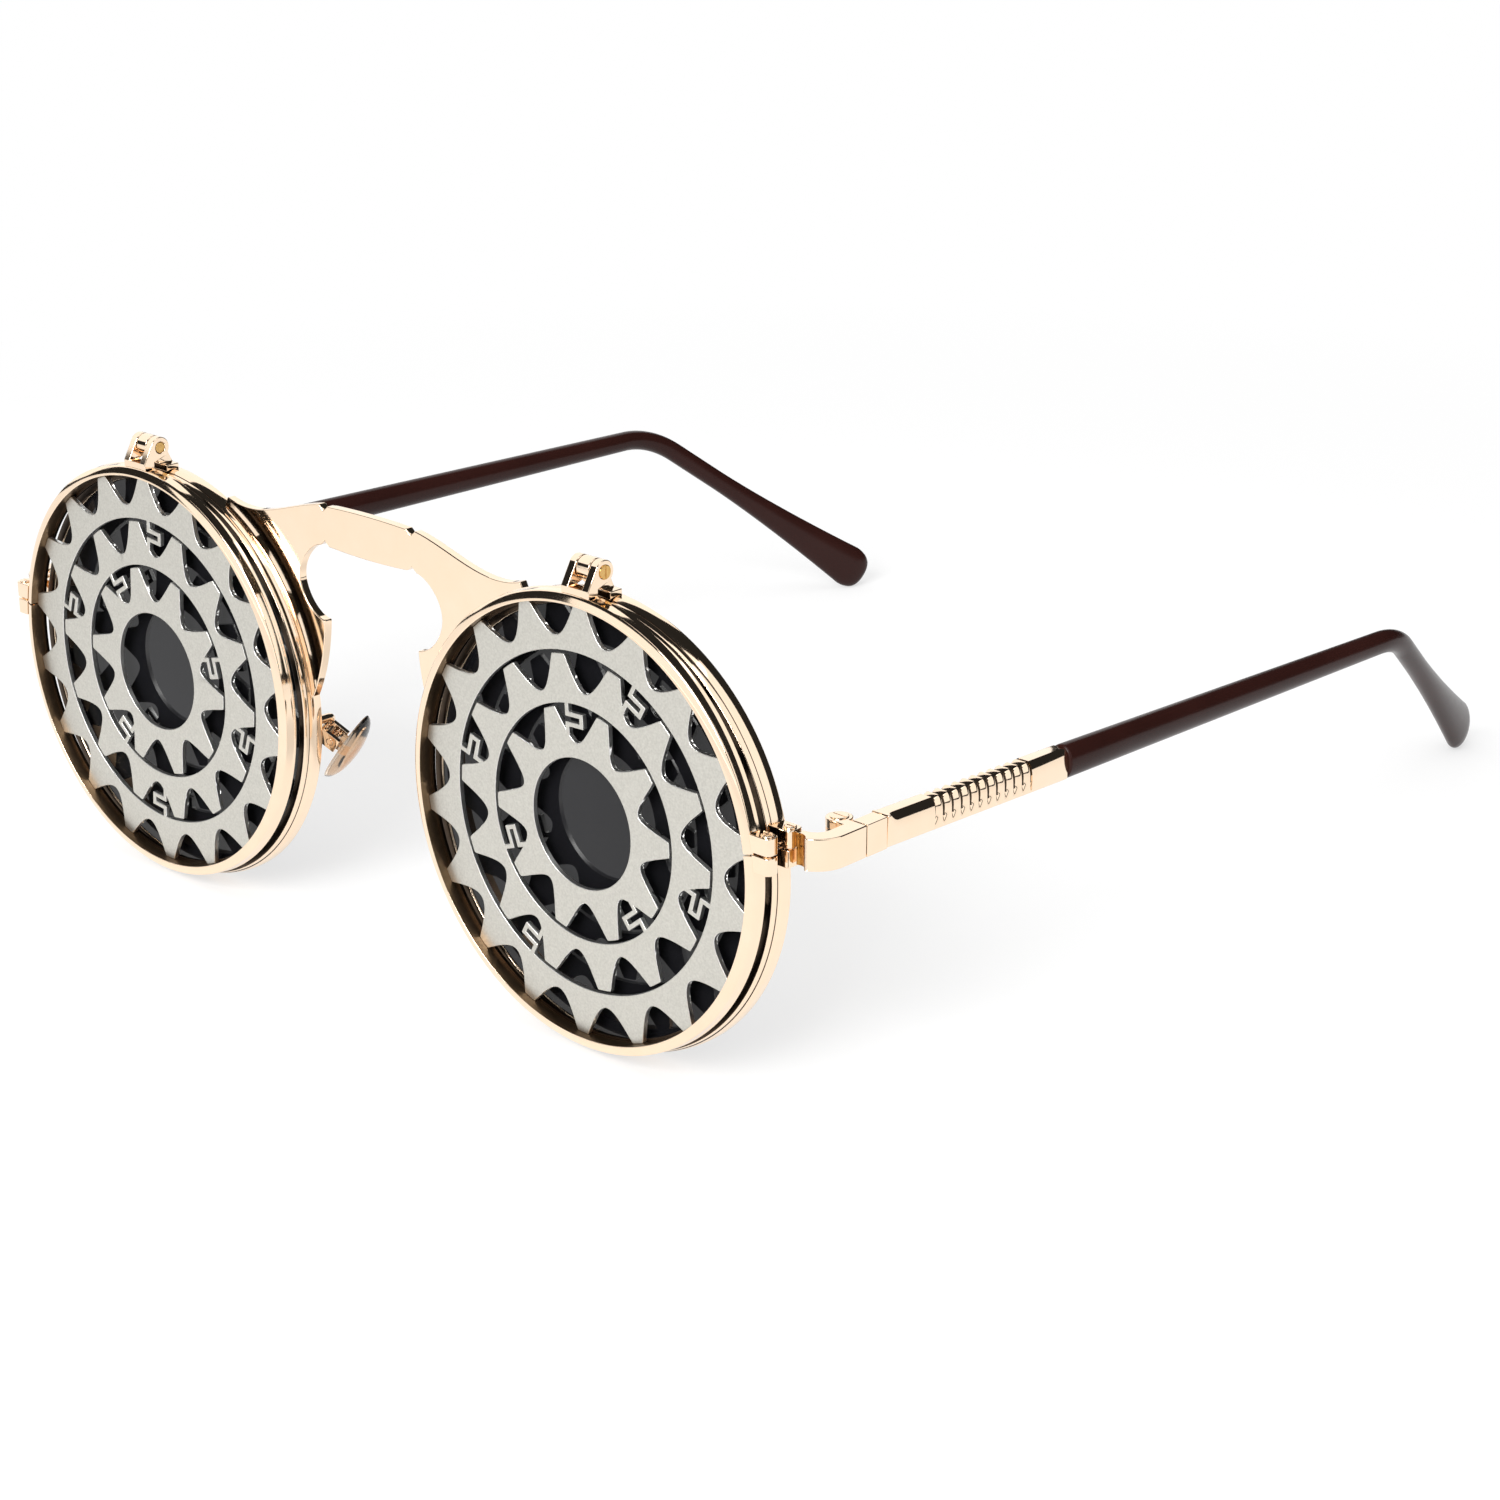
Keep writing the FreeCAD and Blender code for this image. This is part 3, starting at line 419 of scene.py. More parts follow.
def break_edges(piece, edge, segments=3, edge_slot=-1):
    """Take the sharp edges off the piece."""
    take_up(piece)
    bpy.ops.object.shade_smooth_by_angle(angle=smooth_below)
    rounding = piece.modifiers.new("edge", "BEVEL")
    rounding.width = edge
    rounding.segments = segments
    rounding.limit_method = "ANGLE"
    rounding.angle_limit = sharp_above
    rounding.use_clamp_overlap = False
    rounding.harden_normals = True
    rounding.material = edge_slot
    bpy.ops.object.modifier_apply(modifier="edge")


def worked_copy(node, name, edge, segments=3, edge_slot=-1):
    piece = welded_copy(node, name)
    break_edges(piece, edge, segments, edge_slot)
    return piece


def lower_head(pin, seat, axis, width, height):
    """Draw the head of a screw, which lies beyond its seat, in to shares of its width and height."""
    take_up(pin)
    bpy.ops.object.mode_set(mode="EDIT")
    bpy.ops.mesh.select_mode(type="VERT")
    bpy.ops.mesh.select_all(action="DESELECT")
    mesh = bmesh.from_edit_mesh(pin.data)
    for corner in mesh.verts:
        corner.select = corner.co[axis] > seat[axis] - tolerance
    mesh.select_flush_mode()
    bmesh.update_edit_mesh(pin.data)
    size = Vector((width, width, width))
    size[axis] = height
    bpy.ops.transform.resize(value=size, center_override=seat)
    bpy.ops.object.mode_set(mode="OBJECT")


def closing_screw(node, block, name):
    """A screw whose head lies low on its closing block."""
    screw = worked_copy(node, name, screw_edge)
    low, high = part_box(node)
    seat = Vector(((low.x + high.x) / 2, (low.y + high.y) / 2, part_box(block)[1].z))
    lower_head(screw, seat, upright_axis, *closing_head)
    return screw


smooth_below = math.radians(40)
sharp_above = math.radians(32)
upright_axis = 2
closing_head = (0.8, 0.4)
block_edge = 0.1 * mm
screw_edge = 0.05 * mm
for side in ("left", "right"):
    fit(worked_copy("rim_lock_" + side, "rim_closing_block_" + side, block_edge),
        gold, "gold", "frame", "rim_lock_" + side)
    fit(closing_screw("rim_screw_" + side, "rim_lock_" + side, "rim_closing_screw_" + side),
        gold, "gold", "frame", "rim_screw_" + side)


# Bridge: one plate blanked from gold-plated sheet, with claws and tails that are brazed to both
# rims, small notches in its crown and its arch, and edges rounded by tumbling.
bridge_edge = 0.12 * mm
fit(worked_copy("bridge", "blanked_bridge", bridge_edge), gold, "gold", "frame", "bridge")


# Endpieces with the temple hinges' screws: flat gold bar bent round the corner, brazed to the closing
# block, with a channel at its start whose wall is painted amber as painted shade and painted reflection
# of the gold round it, and split into two knuckles, with a slotted screw as the hinge's pin.
def merged(piece, other, how):
    """Join another solid to the piece, or cut it out of it."""
    take_up(piece)
    joining = piece.modifiers.new("joining", "BOOLEAN")
    joining.operation = how
    joining.object = other
    bpy.ops.object.modifier_apply(modifier="joining")
    bpy.data.objects.remove(other)


def in_channel(face, channel):
    """Whether a face lies on the round wall of the channel round this upright axis."""
    from_axis = (face.center - channel).xy
    return abs(from_axis.length - channel_radius) < channel_play and from_axis.dot(face.normal.xy) < 0


painted_amber_shade = mottled("painted_amber_reflection_and_shade", 1500, 3, ((0.78, 0.42, 0.10), (0.20, 0.07, 0.02)), (0.15, 0.35),
                {"Metallic": 1.0})
endpiece_edge = 0.13 * mm
channel_radius = 1.15 * mm
channel_place = 0.5 * mm
channel_front = 0.1 * mm
channel_length = 10 * mm
channel_play = 0.06 * mm
temple_head = (0.9, 0.25)
side_sign = {"left": 1, "right": -1}
for side in ("left", "right"):
    endpiece = welded_copy("endpiece_" + side, "bent_endpiece_" + side)
    low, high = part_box("endpiece_left")
    lock_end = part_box("rim_lock_left")[1].x
    channel = Vector((side_sign[side] * (lock_end + channel_place), low.y - channel_front, high.z))
    bpy.ops.object.select_all(action="DESELECT")
    bpy.ops.mesh.primitive_cylinder_add(vertices=48, radius=channel_radius, depth=channel_length,
                                        location=channel)
    merged(endpiece, bpy.context.object, "DIFFERENCE")
    break_edges(endpiece, endpiece_edge)
    fit(endpiece, gold, "gold", "frame", "endpiece_" + side)
    # Painted shade and painted reflection: the round wall of the channel is painted amber.
    refinish(endpiece, painted_amber_shade, lambda face: in_channel(face, channel))
    pin = worked_copy("temple_hinge_screw_" + side, "temple_hinge_pin_" + side, screw_edge)
    pin_low, pin_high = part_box("temple_hinge_screw_" + side)
    seat = Vector(((pin_low.x + pin_high.x) / 2, (pin_low.y + pin_high.y) / 2, high.z))
    lower_head(pin, seat, upright_axis, *temple_head)
    fit(pin, gold, "gold", "frame", "temple_hinge_screw_" + side)


# Rear leaves of the flip hinges: small gold knuckles brazed on top of the rims.
# Each stands between the ears of the flip ring's own leaf.
for side in ("left", "right"):
    fit(worked_copy("flip_knuckle_" + side, "flip_hinge_knuckle_" + side, block_edge),
        gold, "gold", "frame", "flip_knuckle_" + side)


# Pad arms: bent gold wire brazed to the back of the rim, with a small open box and a screw that
# hold the stub of the nose pad.
for side in ("left", "right"):
    fit(worked_copy("pad_arm_" + side, "pad_wire_" + side, screw_edge),
        gold, "gold", "frame", "pad_arm_" + side)
    fit(worked_copy("pad_screw_" + side, "pad_box_screw_" + side, screw_edge),
        gold, "gold", "frame", "pad_screw_" + side)


# Nose pads: drops of clear soft plastic with a warm brown tint, moulded over a thin metal core.
# The stub on the back of each stands in the box of its pad arm and rocks a little on the screw.
def solid_box(low, high):
    bpy.ops.object.select_all(action="DESELECT")
    bpy.ops.mesh.primitive_cube_add(size=1, location=(Vector(low) + Vector(high)) / 2)
    bpy.context.object.scale = Vector(high) - Vector(low)
    bpy.ops.object.transform_apply(location=True, rotation=True, scale=True)
    return bpy.context.object


def cross_pin(radius, length, x):
    """Cylinder along y."""
    bpy.ops.object.select_all(action="DESELECT")
    bpy.ops.mesh.primitive_cylinder_add(vertices=48, radius=radius, depth=length, location=(x, 0, 0),
                                        rotation=(math.pi / 2, 0, 0))
    bpy.ops.object.transform_apply(location=True, rotation=True, scale=True)
    return bpy.context.object


def half_drop(name, crown, half_width, half_length, edge):
    """Half of an ellipsoid with its crown to -x, its flat back on x = 0 and a rounded rim."""
    bpy.ops.object.select_all(action="DESELECT")
    bpy.ops.mesh.primitive_uv_sphere_add(segments=64, ring_count=40, radius=1,
                                         rotation=(0, math.pi / 2, 0))
    drop = bpy.context.object
    drop.name = name
    bpy.ops.object.transform_apply(location=True, rotation=True, scale=True)
    drop.scale = (crown, half_width, half_length)
    bpy.ops.object.transform_apply(location=True, rotation=True, scale=True)
    bpy.ops.object.mode_set(mode="EDIT")
    bpy.ops.mesh.select_all(action="SELECT")
    bpy.ops.mesh.bisect(plane_co=(0, 0, 0), plane_no=(1, 0, 0), use_fill=True, clear_outer=True)
    bpy.ops.mesh.select_mode(type="EDGE")
    bpy.ops.mesh.select_all(action="DESELECT")
    mesh = bmesh.from_edit_mesh(drop.data)
    for ring_edge in mesh.edges:
        ring_edge.select = all(abs(corner.co.x) < tolerance for corner in ring_edge.verts)
    bmesh.update_edit_mesh(drop.data)
    bpy.ops.mesh.bevel(offset=edge, segments=5, affect="EDGES", clamp_overlap=True)
    close_up(smooth_angle=50)
    return drop


clear = mottled("clear_plastic", 900, 2, ((0.68, 0.57, 0.47), (0.58, 0.47, 0.37)), (0.02, 0.08),
                {"Transmission Weight": 1.0, "IOR": 1.47})
pad_crown = 1.6 * mm
pad_half_width = 3.0 * mm
pad_half_length = 5.1 * mm
pad_rim = 0.5 * mm
stub_half = 0.6 * mm
stub_radius = 0.8 * mm
stub_reach = 1.55 * mm
screw_bore = 0.44 * mm
core_depth = (-0.6 * mm, -0.35 * mm)
core_half_width = 1.3 * mm
core_half_length = 3.9 * mm
stem_depth = (-0.6 * mm, 0.9 * mm)
stem_half_width = 0.25 * mm
stem_half_length = 0.45 * mm
pad_tilt = math.radians(-39)
pad_turn = math.radians(-22)
pad_lie = Matrix.Rotation(pad_tilt, 3, "Y") @ Matrix.Rotation(pad_turn, 3, "Z")
pad_pivot = Vector(joint_places["pad_left_rock"])
pad_place = Matrix.Translation(pad_pivot - pad_lie @ Vector((stub_reach, 0, 0))) @ pad_lie.to_4x4()

pad = half_drop("clear_nose_pad_left", pad_crown, pad_half_width, pad_half_length, pad_rim)
stub = solid_box((-pad_crown / 2, -stub_half, -stub_radius), (stub_reach, stub_half, stub_radius))
merged(pad, stub, "UNION")
merged(pad, cross_pin(stub_radius, 2 * stub_half, stub_reach), "UNION")
merged(pad, cross_pin(screw_bore, 4 * stub_half, stub_reach), "DIFFERENCE")
bpy.ops.object.select_all(action="DESELECT")
bpy.ops.mesh.primitive_cylinder_add(vertices=64, radius=1, depth=1, rotation=(0, math.pi / 2, 0))
core = bpy.context.object
core.name = "pad_core_left"
bpy.ops.object.transform_apply(location=True, rotation=True, scale=True)
core.scale = (core_depth[1] - core_depth[0], core_half_width, core_half_length)
core.location.x = (core_depth[0] + core_depth[1]) / 2
bpy.ops.object.transform_apply(location=True, rotation=True, scale=True)
stem = solid_box((stem_depth[0], -stem_half_width, -stem_half_length),
                 (stem_depth[1], stem_half_width, stem_half_length))
merged(core, stem, "UNION")
for piece, material, slot, nodes in ((pad, clear, "pad", ("nose_pad_",)), (core, gold, "gold", ())):
    take_up(piece)
    piece.matrix_world = pad_place
    bpy.ops.object.transform_apply(location=True, rotation=True, scale=True)
    bpy.ops.object.shade_smooth_by_angle(angle=math.radians(45))
    twin = twin_of(piece, piece.name.replace("left", "right"))
    fit(piece, material, slot, "pad_left", *[node + "left" for node in nodes])
    fit(twin, material, slot, "pad_right", *[node + "right" for node in nodes])


# Flip rings: gold wire drawn with a rabbet, bent round a little smaller than the rims and polished.
# The gear plate is laid into the rabbet from the front, and a block and a screw close the ring.
def flip_outline(outer, rabbet, front, back, floor):
    """Section of the flip ring: a narrow sloping front, a flat outside with a bead, a step in at the
    back, and a deep rabbet inside with a ledge on which the plate lies."""
    ledge = outer - flip_width
    crown = carried_on([(0, 0)], flip_arcs)
    shoulder = outer - crown[-1][0]
    step = front + crown[-1][1]
    points = round_over((rabbet + flip_corner, front + flip_corner), (flip_corner, flip_corner), 180, 270, 3)
    points += [(radius + shoulder, depth + front) for radius, depth in crown]
    points += [(outer - step_edge, step + step_edge), (outer - step_in, step + step_slope),
               (outer - back_in, back)]
    points += round_over((ledge + flip_corner, back - flip_corner), (flip_corner, flip_corner), 90, 180, 3)
    return points + [(ledge, floor), (rabbet, floor)] + points[:1]


def on_rabbet_wall(face, axis):
    """Whether a face of the ring lies on the round wall that surrounds the plate."""
    from_axis = face.center - Vector((axis, face.center.y, flip_centre.z))
    return (abs(from_axis.length - flip_rabbet) < wall_play and face.center.y < flip_step
            and from_axis.dot(face.normal) < facing_axis * flip_rabbet)


# Painted shade: the wall round the plate is painted dark brown, so that it shows dark between the ring and
# the plate.
rabbet_painted_shade = painted_shade_finish("painted_shade_brown", ((0.30, 0.20, 0.12), (0.15, 0.10, 0.06)))
flip_arcs = ((3.4 * mm, -80, -66, 6), (0.35 * mm, -66, -46, 4), (0.12 * mm, -46, -5, 5),
             (13 * mm, -5, -1, 4), (2 * mm, -24, -17, 5), (0.12 * mm, -17, 0, 2))
flip_corner = 0.06 * mm
flip_width = 1.5 * mm
flip_wall = 1.2 * mm
flip_crown = 1.57 * mm
step_edge = 0.04 * mm
step_in = 0.5 * mm
step_slope = 0.1 * mm
back_in = 0.55 * mm
wall_play = 0.05 * mm
facing_axis = -0.8
flip_low, flip_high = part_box("flip_ring_left")
flip_centre = (flip_low + flip_high) / 2
flip_radius = (flip_high.z - flip_low.z) / 2
flip_rabbet = flip_radius - flip_wall
flip_step = flip_low.y + flip_crown
plate_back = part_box("gear_plate_left")[1].y
plate_play = 0.02 * mm
flip_slit = math.asin((slit_level - slit_height / 2 - flip_centre.z) / flip_radius)
flip_ring = spun("polished_flip_ring_left", flip_centre,
                 flip_outline(flip_radius, flip_rabbet, flip_low.y, flip_high.y, plate_back + plate_play),
                 ring_steps, flip_slit, slit_height / flip_radius)
flip_twin = twin_of(flip_ring, "polished_flip_ring_right")
for piece, side, axis in ((flip_ring, "left", flip_centre.x), (flip_twin, "right", -flip_centre.x)):
    fit(piece, gold, "gold", "flip_" + side, "flip_ring_" + side)
    # Painted shade: the flip ring's step at the back, in the valley before the rim, is painted dark.
    refinish(piece, painted_shade, lambda face: face.center.y > flip_step)
    # Painted shade: the wall round the plate gets the dark brown paint.
    refinish(piece, rabbet_painted_shade, lambda face: on_rabbet_wall(face, axis))
for side in ("left", "right"):
    fit(worked_copy("flip_lock_" + side, "flip_closing_block_" + side, block_edge),
        gold, "gold", "flip_" + side, "flip_lock_" + side)
    fit(closing_screw("flip_ring_screw_" + side, "flip_lock_" + side, "flip_closing_screw_" + side),
        gold, "gold", "flip_" + side, "flip_ring_screw_" + side)


# Gear plates: thin satin steel, cut through into three toothed rings that hang in each other by
# stepped links. The walls of the cut and its broken edges are painted paler than the plate: painted
# highlight.
def satin_steel():
    """Light grey steel with a fine blasted grain."""
    material, surface = new_surface("satin_steel")
    grain = noise(surface, 4200, 3)
    tooth = surface.node("ShaderNodeBump", None,
                         {"Height": grain, "Strength": 0.15, "Distance": 0.01 * mm})
    coat(surface, {"Base Color": tinted(surface, grain, (0.74, 0.722, 0.662), (0.49, 0.475, 0.43)),
                   "Metallic": 1.0, "Roughness": grain * 0.12 + 0.34, "Normal": tooth})
    return material


steel = satin_steel()
# Painted highlight: pale finishes for the walls of the cut and for the broken edges.
wall_highlight = mottled("bright_cut_wall", 2500, 2, ((0.96, 0.96, 0.94), (0.88, 0.88, 0.86)), (0.3, 0.4),
                      {"Metallic": 1.0})
edge_highlight = mottled("painted_edge_highlight", 3000, 2, ((0.95, 0.95, 0.93), (0.86, 0.86, 0.84)), (0.4, 0.5),
                {"Metallic": 0.25})
plate_edge = 0.085 * mm
facing_side = 0.5
for side in ("left", "right"):
    plate = worked_copy("gear_plate_" + side, "toothed_plate_" + side, plate_edge, segments=2, edge_slot=1)
    faces = plate.data.polygons
    edges = {face.index for face in faces if face.material_index == 1}
    walls = {face.index for face in faces if abs(face.normal.y) < facing_side} - edges
    fit(plate, steel, "plate", "flip_" + side, "gear_plate_" + side)
    # Painted highlight: the broken edges and the walls of the cut are painted pale.
    refinish(plate, edge_highlight, lambda face: face.index in edges)
    refinish(plate, wall_highlight, lambda face: face.index in walls)


# Front leaves of the flip hinges: gold ears brazed on top of the flip rings, with a slotted
# brass screw through both of them and the knuckle between.
brass = mottled("turned_brass", 3200, 3, ((0.80, 0.52, 0.20), (0.58, 0.33, 0.10)), (0.12, 0.27),
                {"Metallic": 1.0})
sideways_axis = 0
flip_head = (0.75, 0.4)
for side in ("left", "right"):
    ears = worked_copy("flip_leaf_" + side, "flip_hinge_ears_" + side, block_edge)
    fit(ears, gold, "gold", "flip_" + side, "flip_leaf_" + side)
pin = worked_copy("flip_hinge_screw_left", "flip_hinge_pin_left", screw_edge)
pin_low, pin_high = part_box("flip_hinge_screw_left")
seat = Vector((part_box("flip_leaf_left")[1].x, (pin_low.y + pin_high.y) / 2, (pin_low.z + pin_high.z) / 2))
lower_head(pin, seat, sideways_axis, *flip_head)
pin_twin = twin_of(pin, "flip_hinge_pin_right")
fit(pin, brass, "gold", "flip_left", "flip_hinge_screw_left")
fit(pin_twin, brass, "gold", "flip_right", "flip_hinge_screw_right")


# Temple bars: cast and gold-plated, with a square hinge block, a rounded top edge and eleven ribs for
# the finger that fall off like the teeth of a saw. The tang inside the sleeve is hidden and left out.
def lofted(name, rings, smooth_angle):
    """Begin with a flat round face and extrude it from ring to ring of points."""
    bpy.ops.object.select_all(action="DESELECT")
    bpy.ops.mesh.primitive_circle_add(vertices=len(rings[0]), radius=mm, fill_type="NGON")
    piece = bpy.context.object
    piece.name = name
    bpy.ops.object.mode_set(mode="EDIT")
    bpy.ops.mesh.select_mode(type="FACE")
    for number, ring in enumerate(rings):
        if number:
            bpy.ops.mesh.extrude_region_move()
        mesh = bmesh.from_edit_mesh(piece.data)
        end = next(face for face in mesh.faces if face.select)
        for corner, point in zip(end.verts, ring):
            corner.co = point
        bmesh.update_edit_mesh(piece.data)
    close_up(smooth_angle)
    return piece


def rounded_section(height, thickness, top_round, top_drop, inner_round, foot_round, inset):
    """(x, z) points of an upright section whose outer face lies on x = 0."""
    half = height / 2
    points = []
    for x, z, across, drop, first in ((-inset, half - inset, -top_round, -top_drop, 0),
                                      (inset - thickness, half - inset, inner_round, -inner_round, 90),
                                      (inset - thickness, inset - half, foot_round, foot_round, 180),
                                      (-inset, inset - half, -foot_round, foot_round, 270)):
        points += round_over((x + across, z + drop), (abs(across), abs(drop)), first, first + 90, 12)
    return points


bar_height = 3.3 * mm
bar_thickness = 2.2 * mm
bar_length = 29.2 * mm
bar_top_round = 0.75 * mm
bar_top_drop = 2.1 * mm
bar_inner_round = 0.3 * mm
bar_foot_round = 0.3 * mm
bar_first_round = 0.08 * mm
bar_seam = 0.12 * mm
seam_gap = 0.1 * mm
neck_start = 0.5 * mm
neck_end = 1.7 * mm
neck_steps = 16
rib_first = 7.8 * mm
rib_pitch = 1.42 * mm
rib_groove = 0.6 * mm
rib_depth = 0.5 * mm
rib_rise = 0.74
rib_swell = 1.4
rib_fall = 2
rib_count = 11
rib_floor = bar_height / 2 - 2.4 * mm
rib_fade = 0.5 * mm
rib_steps = 14
rib_margin = 0.05 * mm
rib_zone = rib_first + rib_groove / 2
shadow_place = 0.06
shadow_width = 0.14
shadow_growth = 0.06
shadow_foot = 0.1
bar_collar = 0.12 * mm
block_round = 0.08 * mm
toe_in = math.radians(0.6)
block_end = 3.0 * mm
drop_angles = {"left": math.radians(2.4), "right": math.radians(0.6)}
temple_hinge = Vector(joint_places["temple_left_hinge"])
bar_start = Vector((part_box("endpiece_left")[1].x, temple_hinge.y + block_end, temple_hinge.z))


def bar_lie(side):
    return Matrix.Rotation(toe_in, 3, "Z") @ Matrix.Rotation(-drop_angles[side], 3, "X")


def neck_round(run):
    """Rounding of the top edges, which runs out before the hinge block."""
    share = min(max((run - neck_start) / (neck_end - neck_start), 0), 1)
    return bar_first_round + (bar_top_round - bar_first_round) * math.sqrt(1 - (1 - share) ** 2)


def rib_hollow(share):
    """How far the bar is cut in at a share of one rib, which swells slowly and falls off fast."""
    if share < rib_rise:
        return rib_depth * (1 - share / rib_rise) ** rib_swell
    return rib_depth * ((share - rib_rise) / (1 - rib_rise)) ** rib_fall


def on_side(side, ring):
    """Points that were worked out for the left temple, on the given side."""
    return [Vector((side_sign[side] * point.x, point.y, point.z)) for point in ring]


def bar_rings(side):
    """The bar's sections from the hinge block to the sleeve, in which the ribs are cut."""
    runs = [seam_gap, seam_gap + bar_seam / 2, seam_gap + bar_seam]
    runs += [neck_start + (neck_end - neck_start) * step / neck_steps for step in range(neck_steps + 1)]
    first_rib = rib_zone - rib_pitch / 2
    last_rib = rib_zone + rib_pitch * (rib_count - 0.5)
    rib_runs = [first_rib + rib_pitch * step / rib_steps for step in range(rib_count * rib_steps + 1)]
    runs += [first_rib - rib_margin] + rib_runs + [last_rib + rib_margin]
    runs += [bar_length - bar_collar, bar_length - bar_collar / 2, bar_length]
    rings = []
    for run in runs:
        from_end = min(run - seam_gap, bar_length - run)
        inset = bar_seam - math.sqrt(max(bar_seam ** 2 - max(bar_seam - from_end, 0) ** 2, 0))
        place = (run - rib_zone) / rib_pitch + 0.5
        depth = rib_hollow(place - math.floor(place)) if 0 <= place <= rib_count else 0
        rounding = neck_round(run)
        top_drop = rounding * bar_top_drop / bar_top_round
        section = rounded_section(bar_height, bar_thickness, rounding, top_drop,
                                  min(rounding, bar_inner_round), bar_foot_round, inset)
        ring = []
        for x, z in section:
            share = min(max((z - rib_floor) / rib_fade, 0), 1) * depth
            away = Vector((x + bar_thickness / 2, z - rib_floor))
            if share:
                reach = away.length
                x -= away.x / reach * share
                z -= away.y / reach * share
            ring.append(bar_start + bar_lie(side) @ Vector((x, run, z)))
        rings.append(on_side(side, ring))
    return rings


def in_groove_shade(side, face):
    """Whether a face of the bar lies deep between two ribs, where it gets painted shade; the painted band
    narrows to its lower end.
    """
    place = bar_lie(side).transposed() @ (on_side(side, [face.center])[0] - bar_start)
    along = (place.y - rib_zone) / rib_pitch + 0.5
    reach = (place.z - rib_floor) / (bar_height / 2 - rib_floor)
    away = abs((along - shadow_place + 0.5) % 1 - 0.5)
    return 0 < along < rib_count and reach > shadow_foot and away < shadow_width + shadow_growth * reach


def upright_pin(radius, height):
    """Cylinder on the left temple's hinge."""
    bpy.ops.object.select_all(action="DESELECT")
    bpy.ops.mesh.primitive_cylinder_add(vertices=64, radius=radius, depth=height, location=temple_hinge)
    bpy.ops.object.transform_apply(location=True, rotation=True, scale=True)
    return bpy.context.object


block_thickness = 1.9 * mm
block_start = 0.05 * mm
block_gap = 0.02 * mm
block_overlap = 0.2 * mm
barrel_radius = 1.35 * mm
barrel_half = 0.52 * mm
barrel_web = 1.1 * mm
hinge_bore = 0.64 * mm
block_inner = bar_start.x - block_thickness
block_front = temple_hinge.y + block_start
end_low, end_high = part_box("endpiece_left")
hinge_block = solid_box((block_inner, block_front, end_low.z),
                        (bar_start.x, bar_start.y - block_gap, end_high.z))
hinge_block.name = "temple_hinge_block_left"
web = solid_box((temple_hinge.x, block_front, temple_hinge.z - barrel_half),
                (block_inner + block_overlap, block_front + barrel_web, temple_hinge.z + barrel_half))
merged(hinge_block, upright_pin(barrel_radius, 2 * barrel_half), "UNION")
merged(hinge_block, web, "UNION")
merged(hinge_block, upright_pin(hinge_bore, 4 * barrel_half), "DIFFERENCE")
break_edges(hinge_block, block_round, segments=2)
bpy.ops.object.mode_set(mode="EDIT")
bpy.ops.mesh.select_all(action="SELECT")
bpy.ops.mesh.remove_doubles(threshold=0.004 * mm)
bpy.ops.mesh.normals_make_consistent(inside=False)
bpy.ops.object.mode_set(mode="OBJECT")
hinge_blocks = {"left": hinge_block, "right": twin_of(hinge_block, "temple_hinge_block_right")}
for side in ("left", "right"):
    fit(hinge_blocks[side], gold, "gold", "temple_" + side, "temple_bar_" + side)
    bar = lofted("grooved_bar_" + side, bar_rings(side), smooth_angle=50)
    fit(bar, gold, "gold", "temple_" + side, "temple_bar_" + side)
    # Painted shade: the faces deep in the grooves between the ribs are painted dark.
    refinish(bar, painted_shade, lambda face: in_groove_shade(side, face))


# Temple sleeves: dark brown plastic pushed over the tang, drawn thinner to the bend behind the
# ear, bent by heat and flattened into a rounded paddle at the tip.
def brown_plastic():
    """Very dark red-brown plastic under a wet gloss, with a slight warm flow in it."""
    material, surface = new_surface("brown_plastic")
    flow = noise(surface, 90, 3)
    skin = noise(surface, 1200, 2)
    coat(surface, {"Base Color": tinted(surface, flow, (0.019, 0.0055, 0.0042), (0.036, 0.0105, 0.0082)),
                   "Roughness": skin * 0.06 + 0.2, "IOR": 1.37, "Specular IOR Level": 0.27})
    return material


def oval(centre, along, height, thickness):
    """Ring of points on an upright ellipse across a direction."""
    across = along.cross(Vector((0, 0, 1))).normalized()
    upright = across.cross(along).normalized()
    angles = [2 * math.pi * step / oval_points for step in range(oval_points)]
    return [centre + upright * (height / 2 * math.sin(a)) + across * (thickness / 2 * math.cos(a))
            for a in angles]


oval_points = 32
sleeve_start = (3.8 * mm, 2.9 * mm)
sleeve_bend = (2.75 * mm, 2.6 * mm)
sleeve_tip = (6.2 * mm, 2.8 * mm)
sleeve_joint = 0.02 * mm
sleeve_lip = 0.25 * mm
lip_steps = 4
sleeve_straight = 67.4 * mm
straight_steps = 6
bend_radius = 14 * mm
bend_steps = 18
tip_back = 33.87 * mm
tip_swell = 31 * mm
tip_flare = 1.6
tip_round = 3.2 * mm
tip_steps = 12
tip_squareness = 0.55
tip_last = math.radians(86)
tip_ends = {"left": (8.3 * mm, 1.622 * mm), "right": (12.3 * mm, 1.532 * mm)}
brown = brown_plastic()


def between(first, last, share):
    """Height and thickness at a share of the way from one section to another."""
    return [start + (end - start) * share for start, end in zip(first, last)]


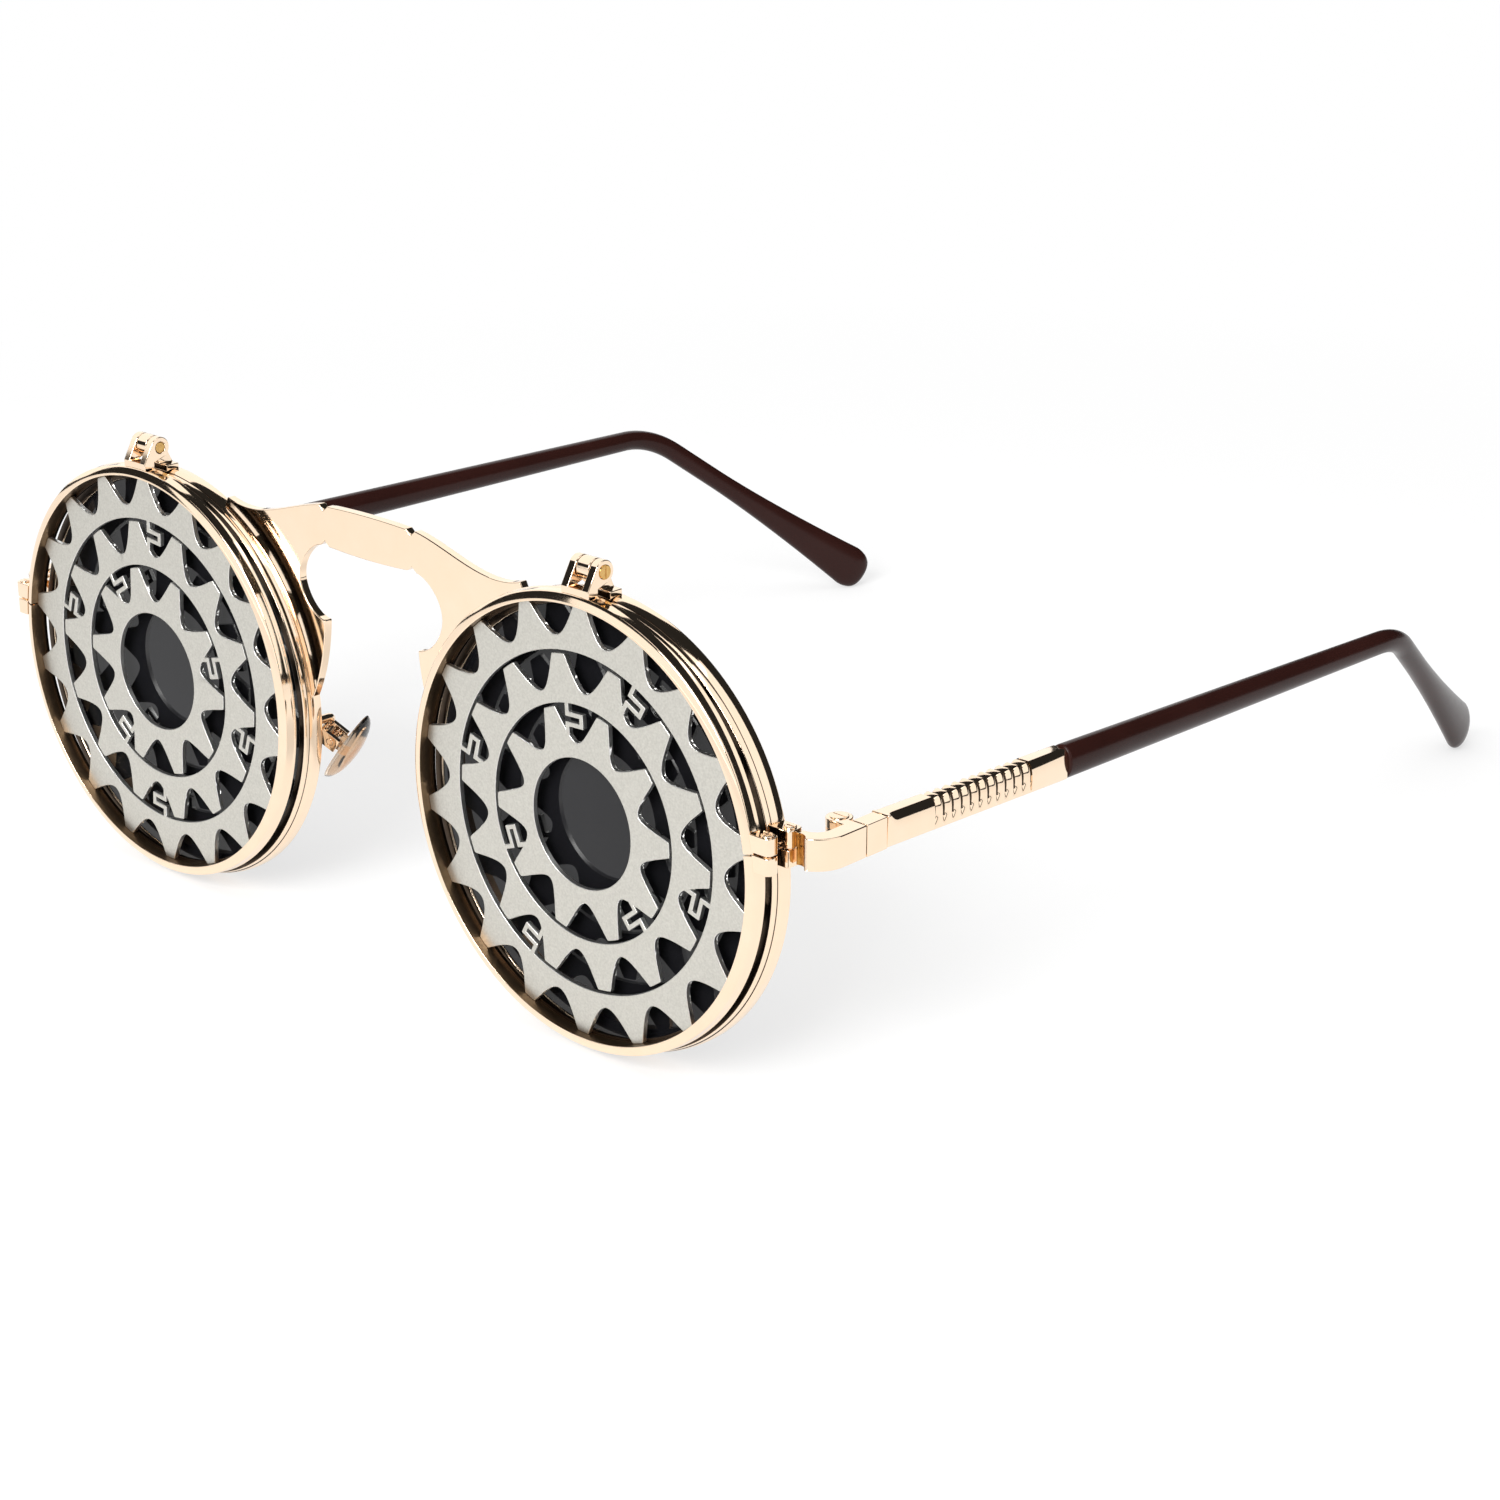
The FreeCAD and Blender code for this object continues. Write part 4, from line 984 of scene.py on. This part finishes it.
def sleeve_rings(bar_end, along, corner, tip):
    """The sleeve's sections: a rounded lip, a straight run, the bend, a flaring leg and a round end."""
    leg = (tip - corner).normalized()
    axis = along.cross(leg).normalized()
    turn = along.angle(leg)
    bend_start = corner - along * (bend_radius * math.tan(turn / 2))
    pivot = bend_start + axis.cross(along).normalized() * bend_radius
    start = bar_end + along * sleeve_joint
    rings = []
    for step in range(lip_steps):
        angle = math.pi / 2 * step / lip_steps
        shrink = sleeve_lip * 2 * (1 - math.sin(angle))
        rings.append(oval(start + along * (sleeve_lip * (1 - math.cos(angle))), along,
                          sleeve_start[0] - shrink, sleeve_start[1] - shrink))
    for step in range(straight_steps):
        share = step / straight_steps
        middle = (start + along * sleeve_lip).lerp(bend_start, share)
        rings.append(oval(middle, along, *between(sleeve_start, sleeve_bend, share)))
    for step in range(bend_steps + 1):
        swing = Matrix.Rotation(turn * step / bend_steps, 3, axis)
        rings.append(oval(pivot + swing @ (bend_start - pivot), swing @ along, *sleeve_bend))
    for step in range(tip_steps + 1):
        share = step / tip_steps
        middle = tip - leg * (tip_swell + (tip_round - tip_swell) * share)
        rings.append(oval(middle, leg, *between(sleeve_bend, sleeve_tip, share ** tip_flare)))
    for step in range(1, tip_steps + 1):
        angle = tip_last * step / tip_steps
        shrink = math.cos(angle) ** tip_squareness
        middle = tip - leg * (tip_round * (1 - math.sin(angle)))
        rings.append(oval(middle, leg, sleeve_tip[0] * shrink, sleeve_tip[1] * shrink))
    return rings


for side in ("left", "right"):
    along = bar_lie(side) @ Vector((0, 1, 0))
    bar_end = bar_start + bar_lie(side) @ Vector((-bar_thickness / 2, bar_length, 0))
    corner = bar_end + along * sleeve_straight
    tip_in, tip_rise = tip_ends[side]
    tip = Vector((corner.x - tip_in, corner.y + tip_back, tip_rise))
    rings = [on_side(side, ring) for ring in sleeve_rings(bar_end, along, corner, tip)]
    sleeve = lofted("drawn_sleeve_" + side, rings, smooth_angle=50)
    fit(sleeve, brown, "sleeve", "temple_" + side, "temple_sleeve_" + side)
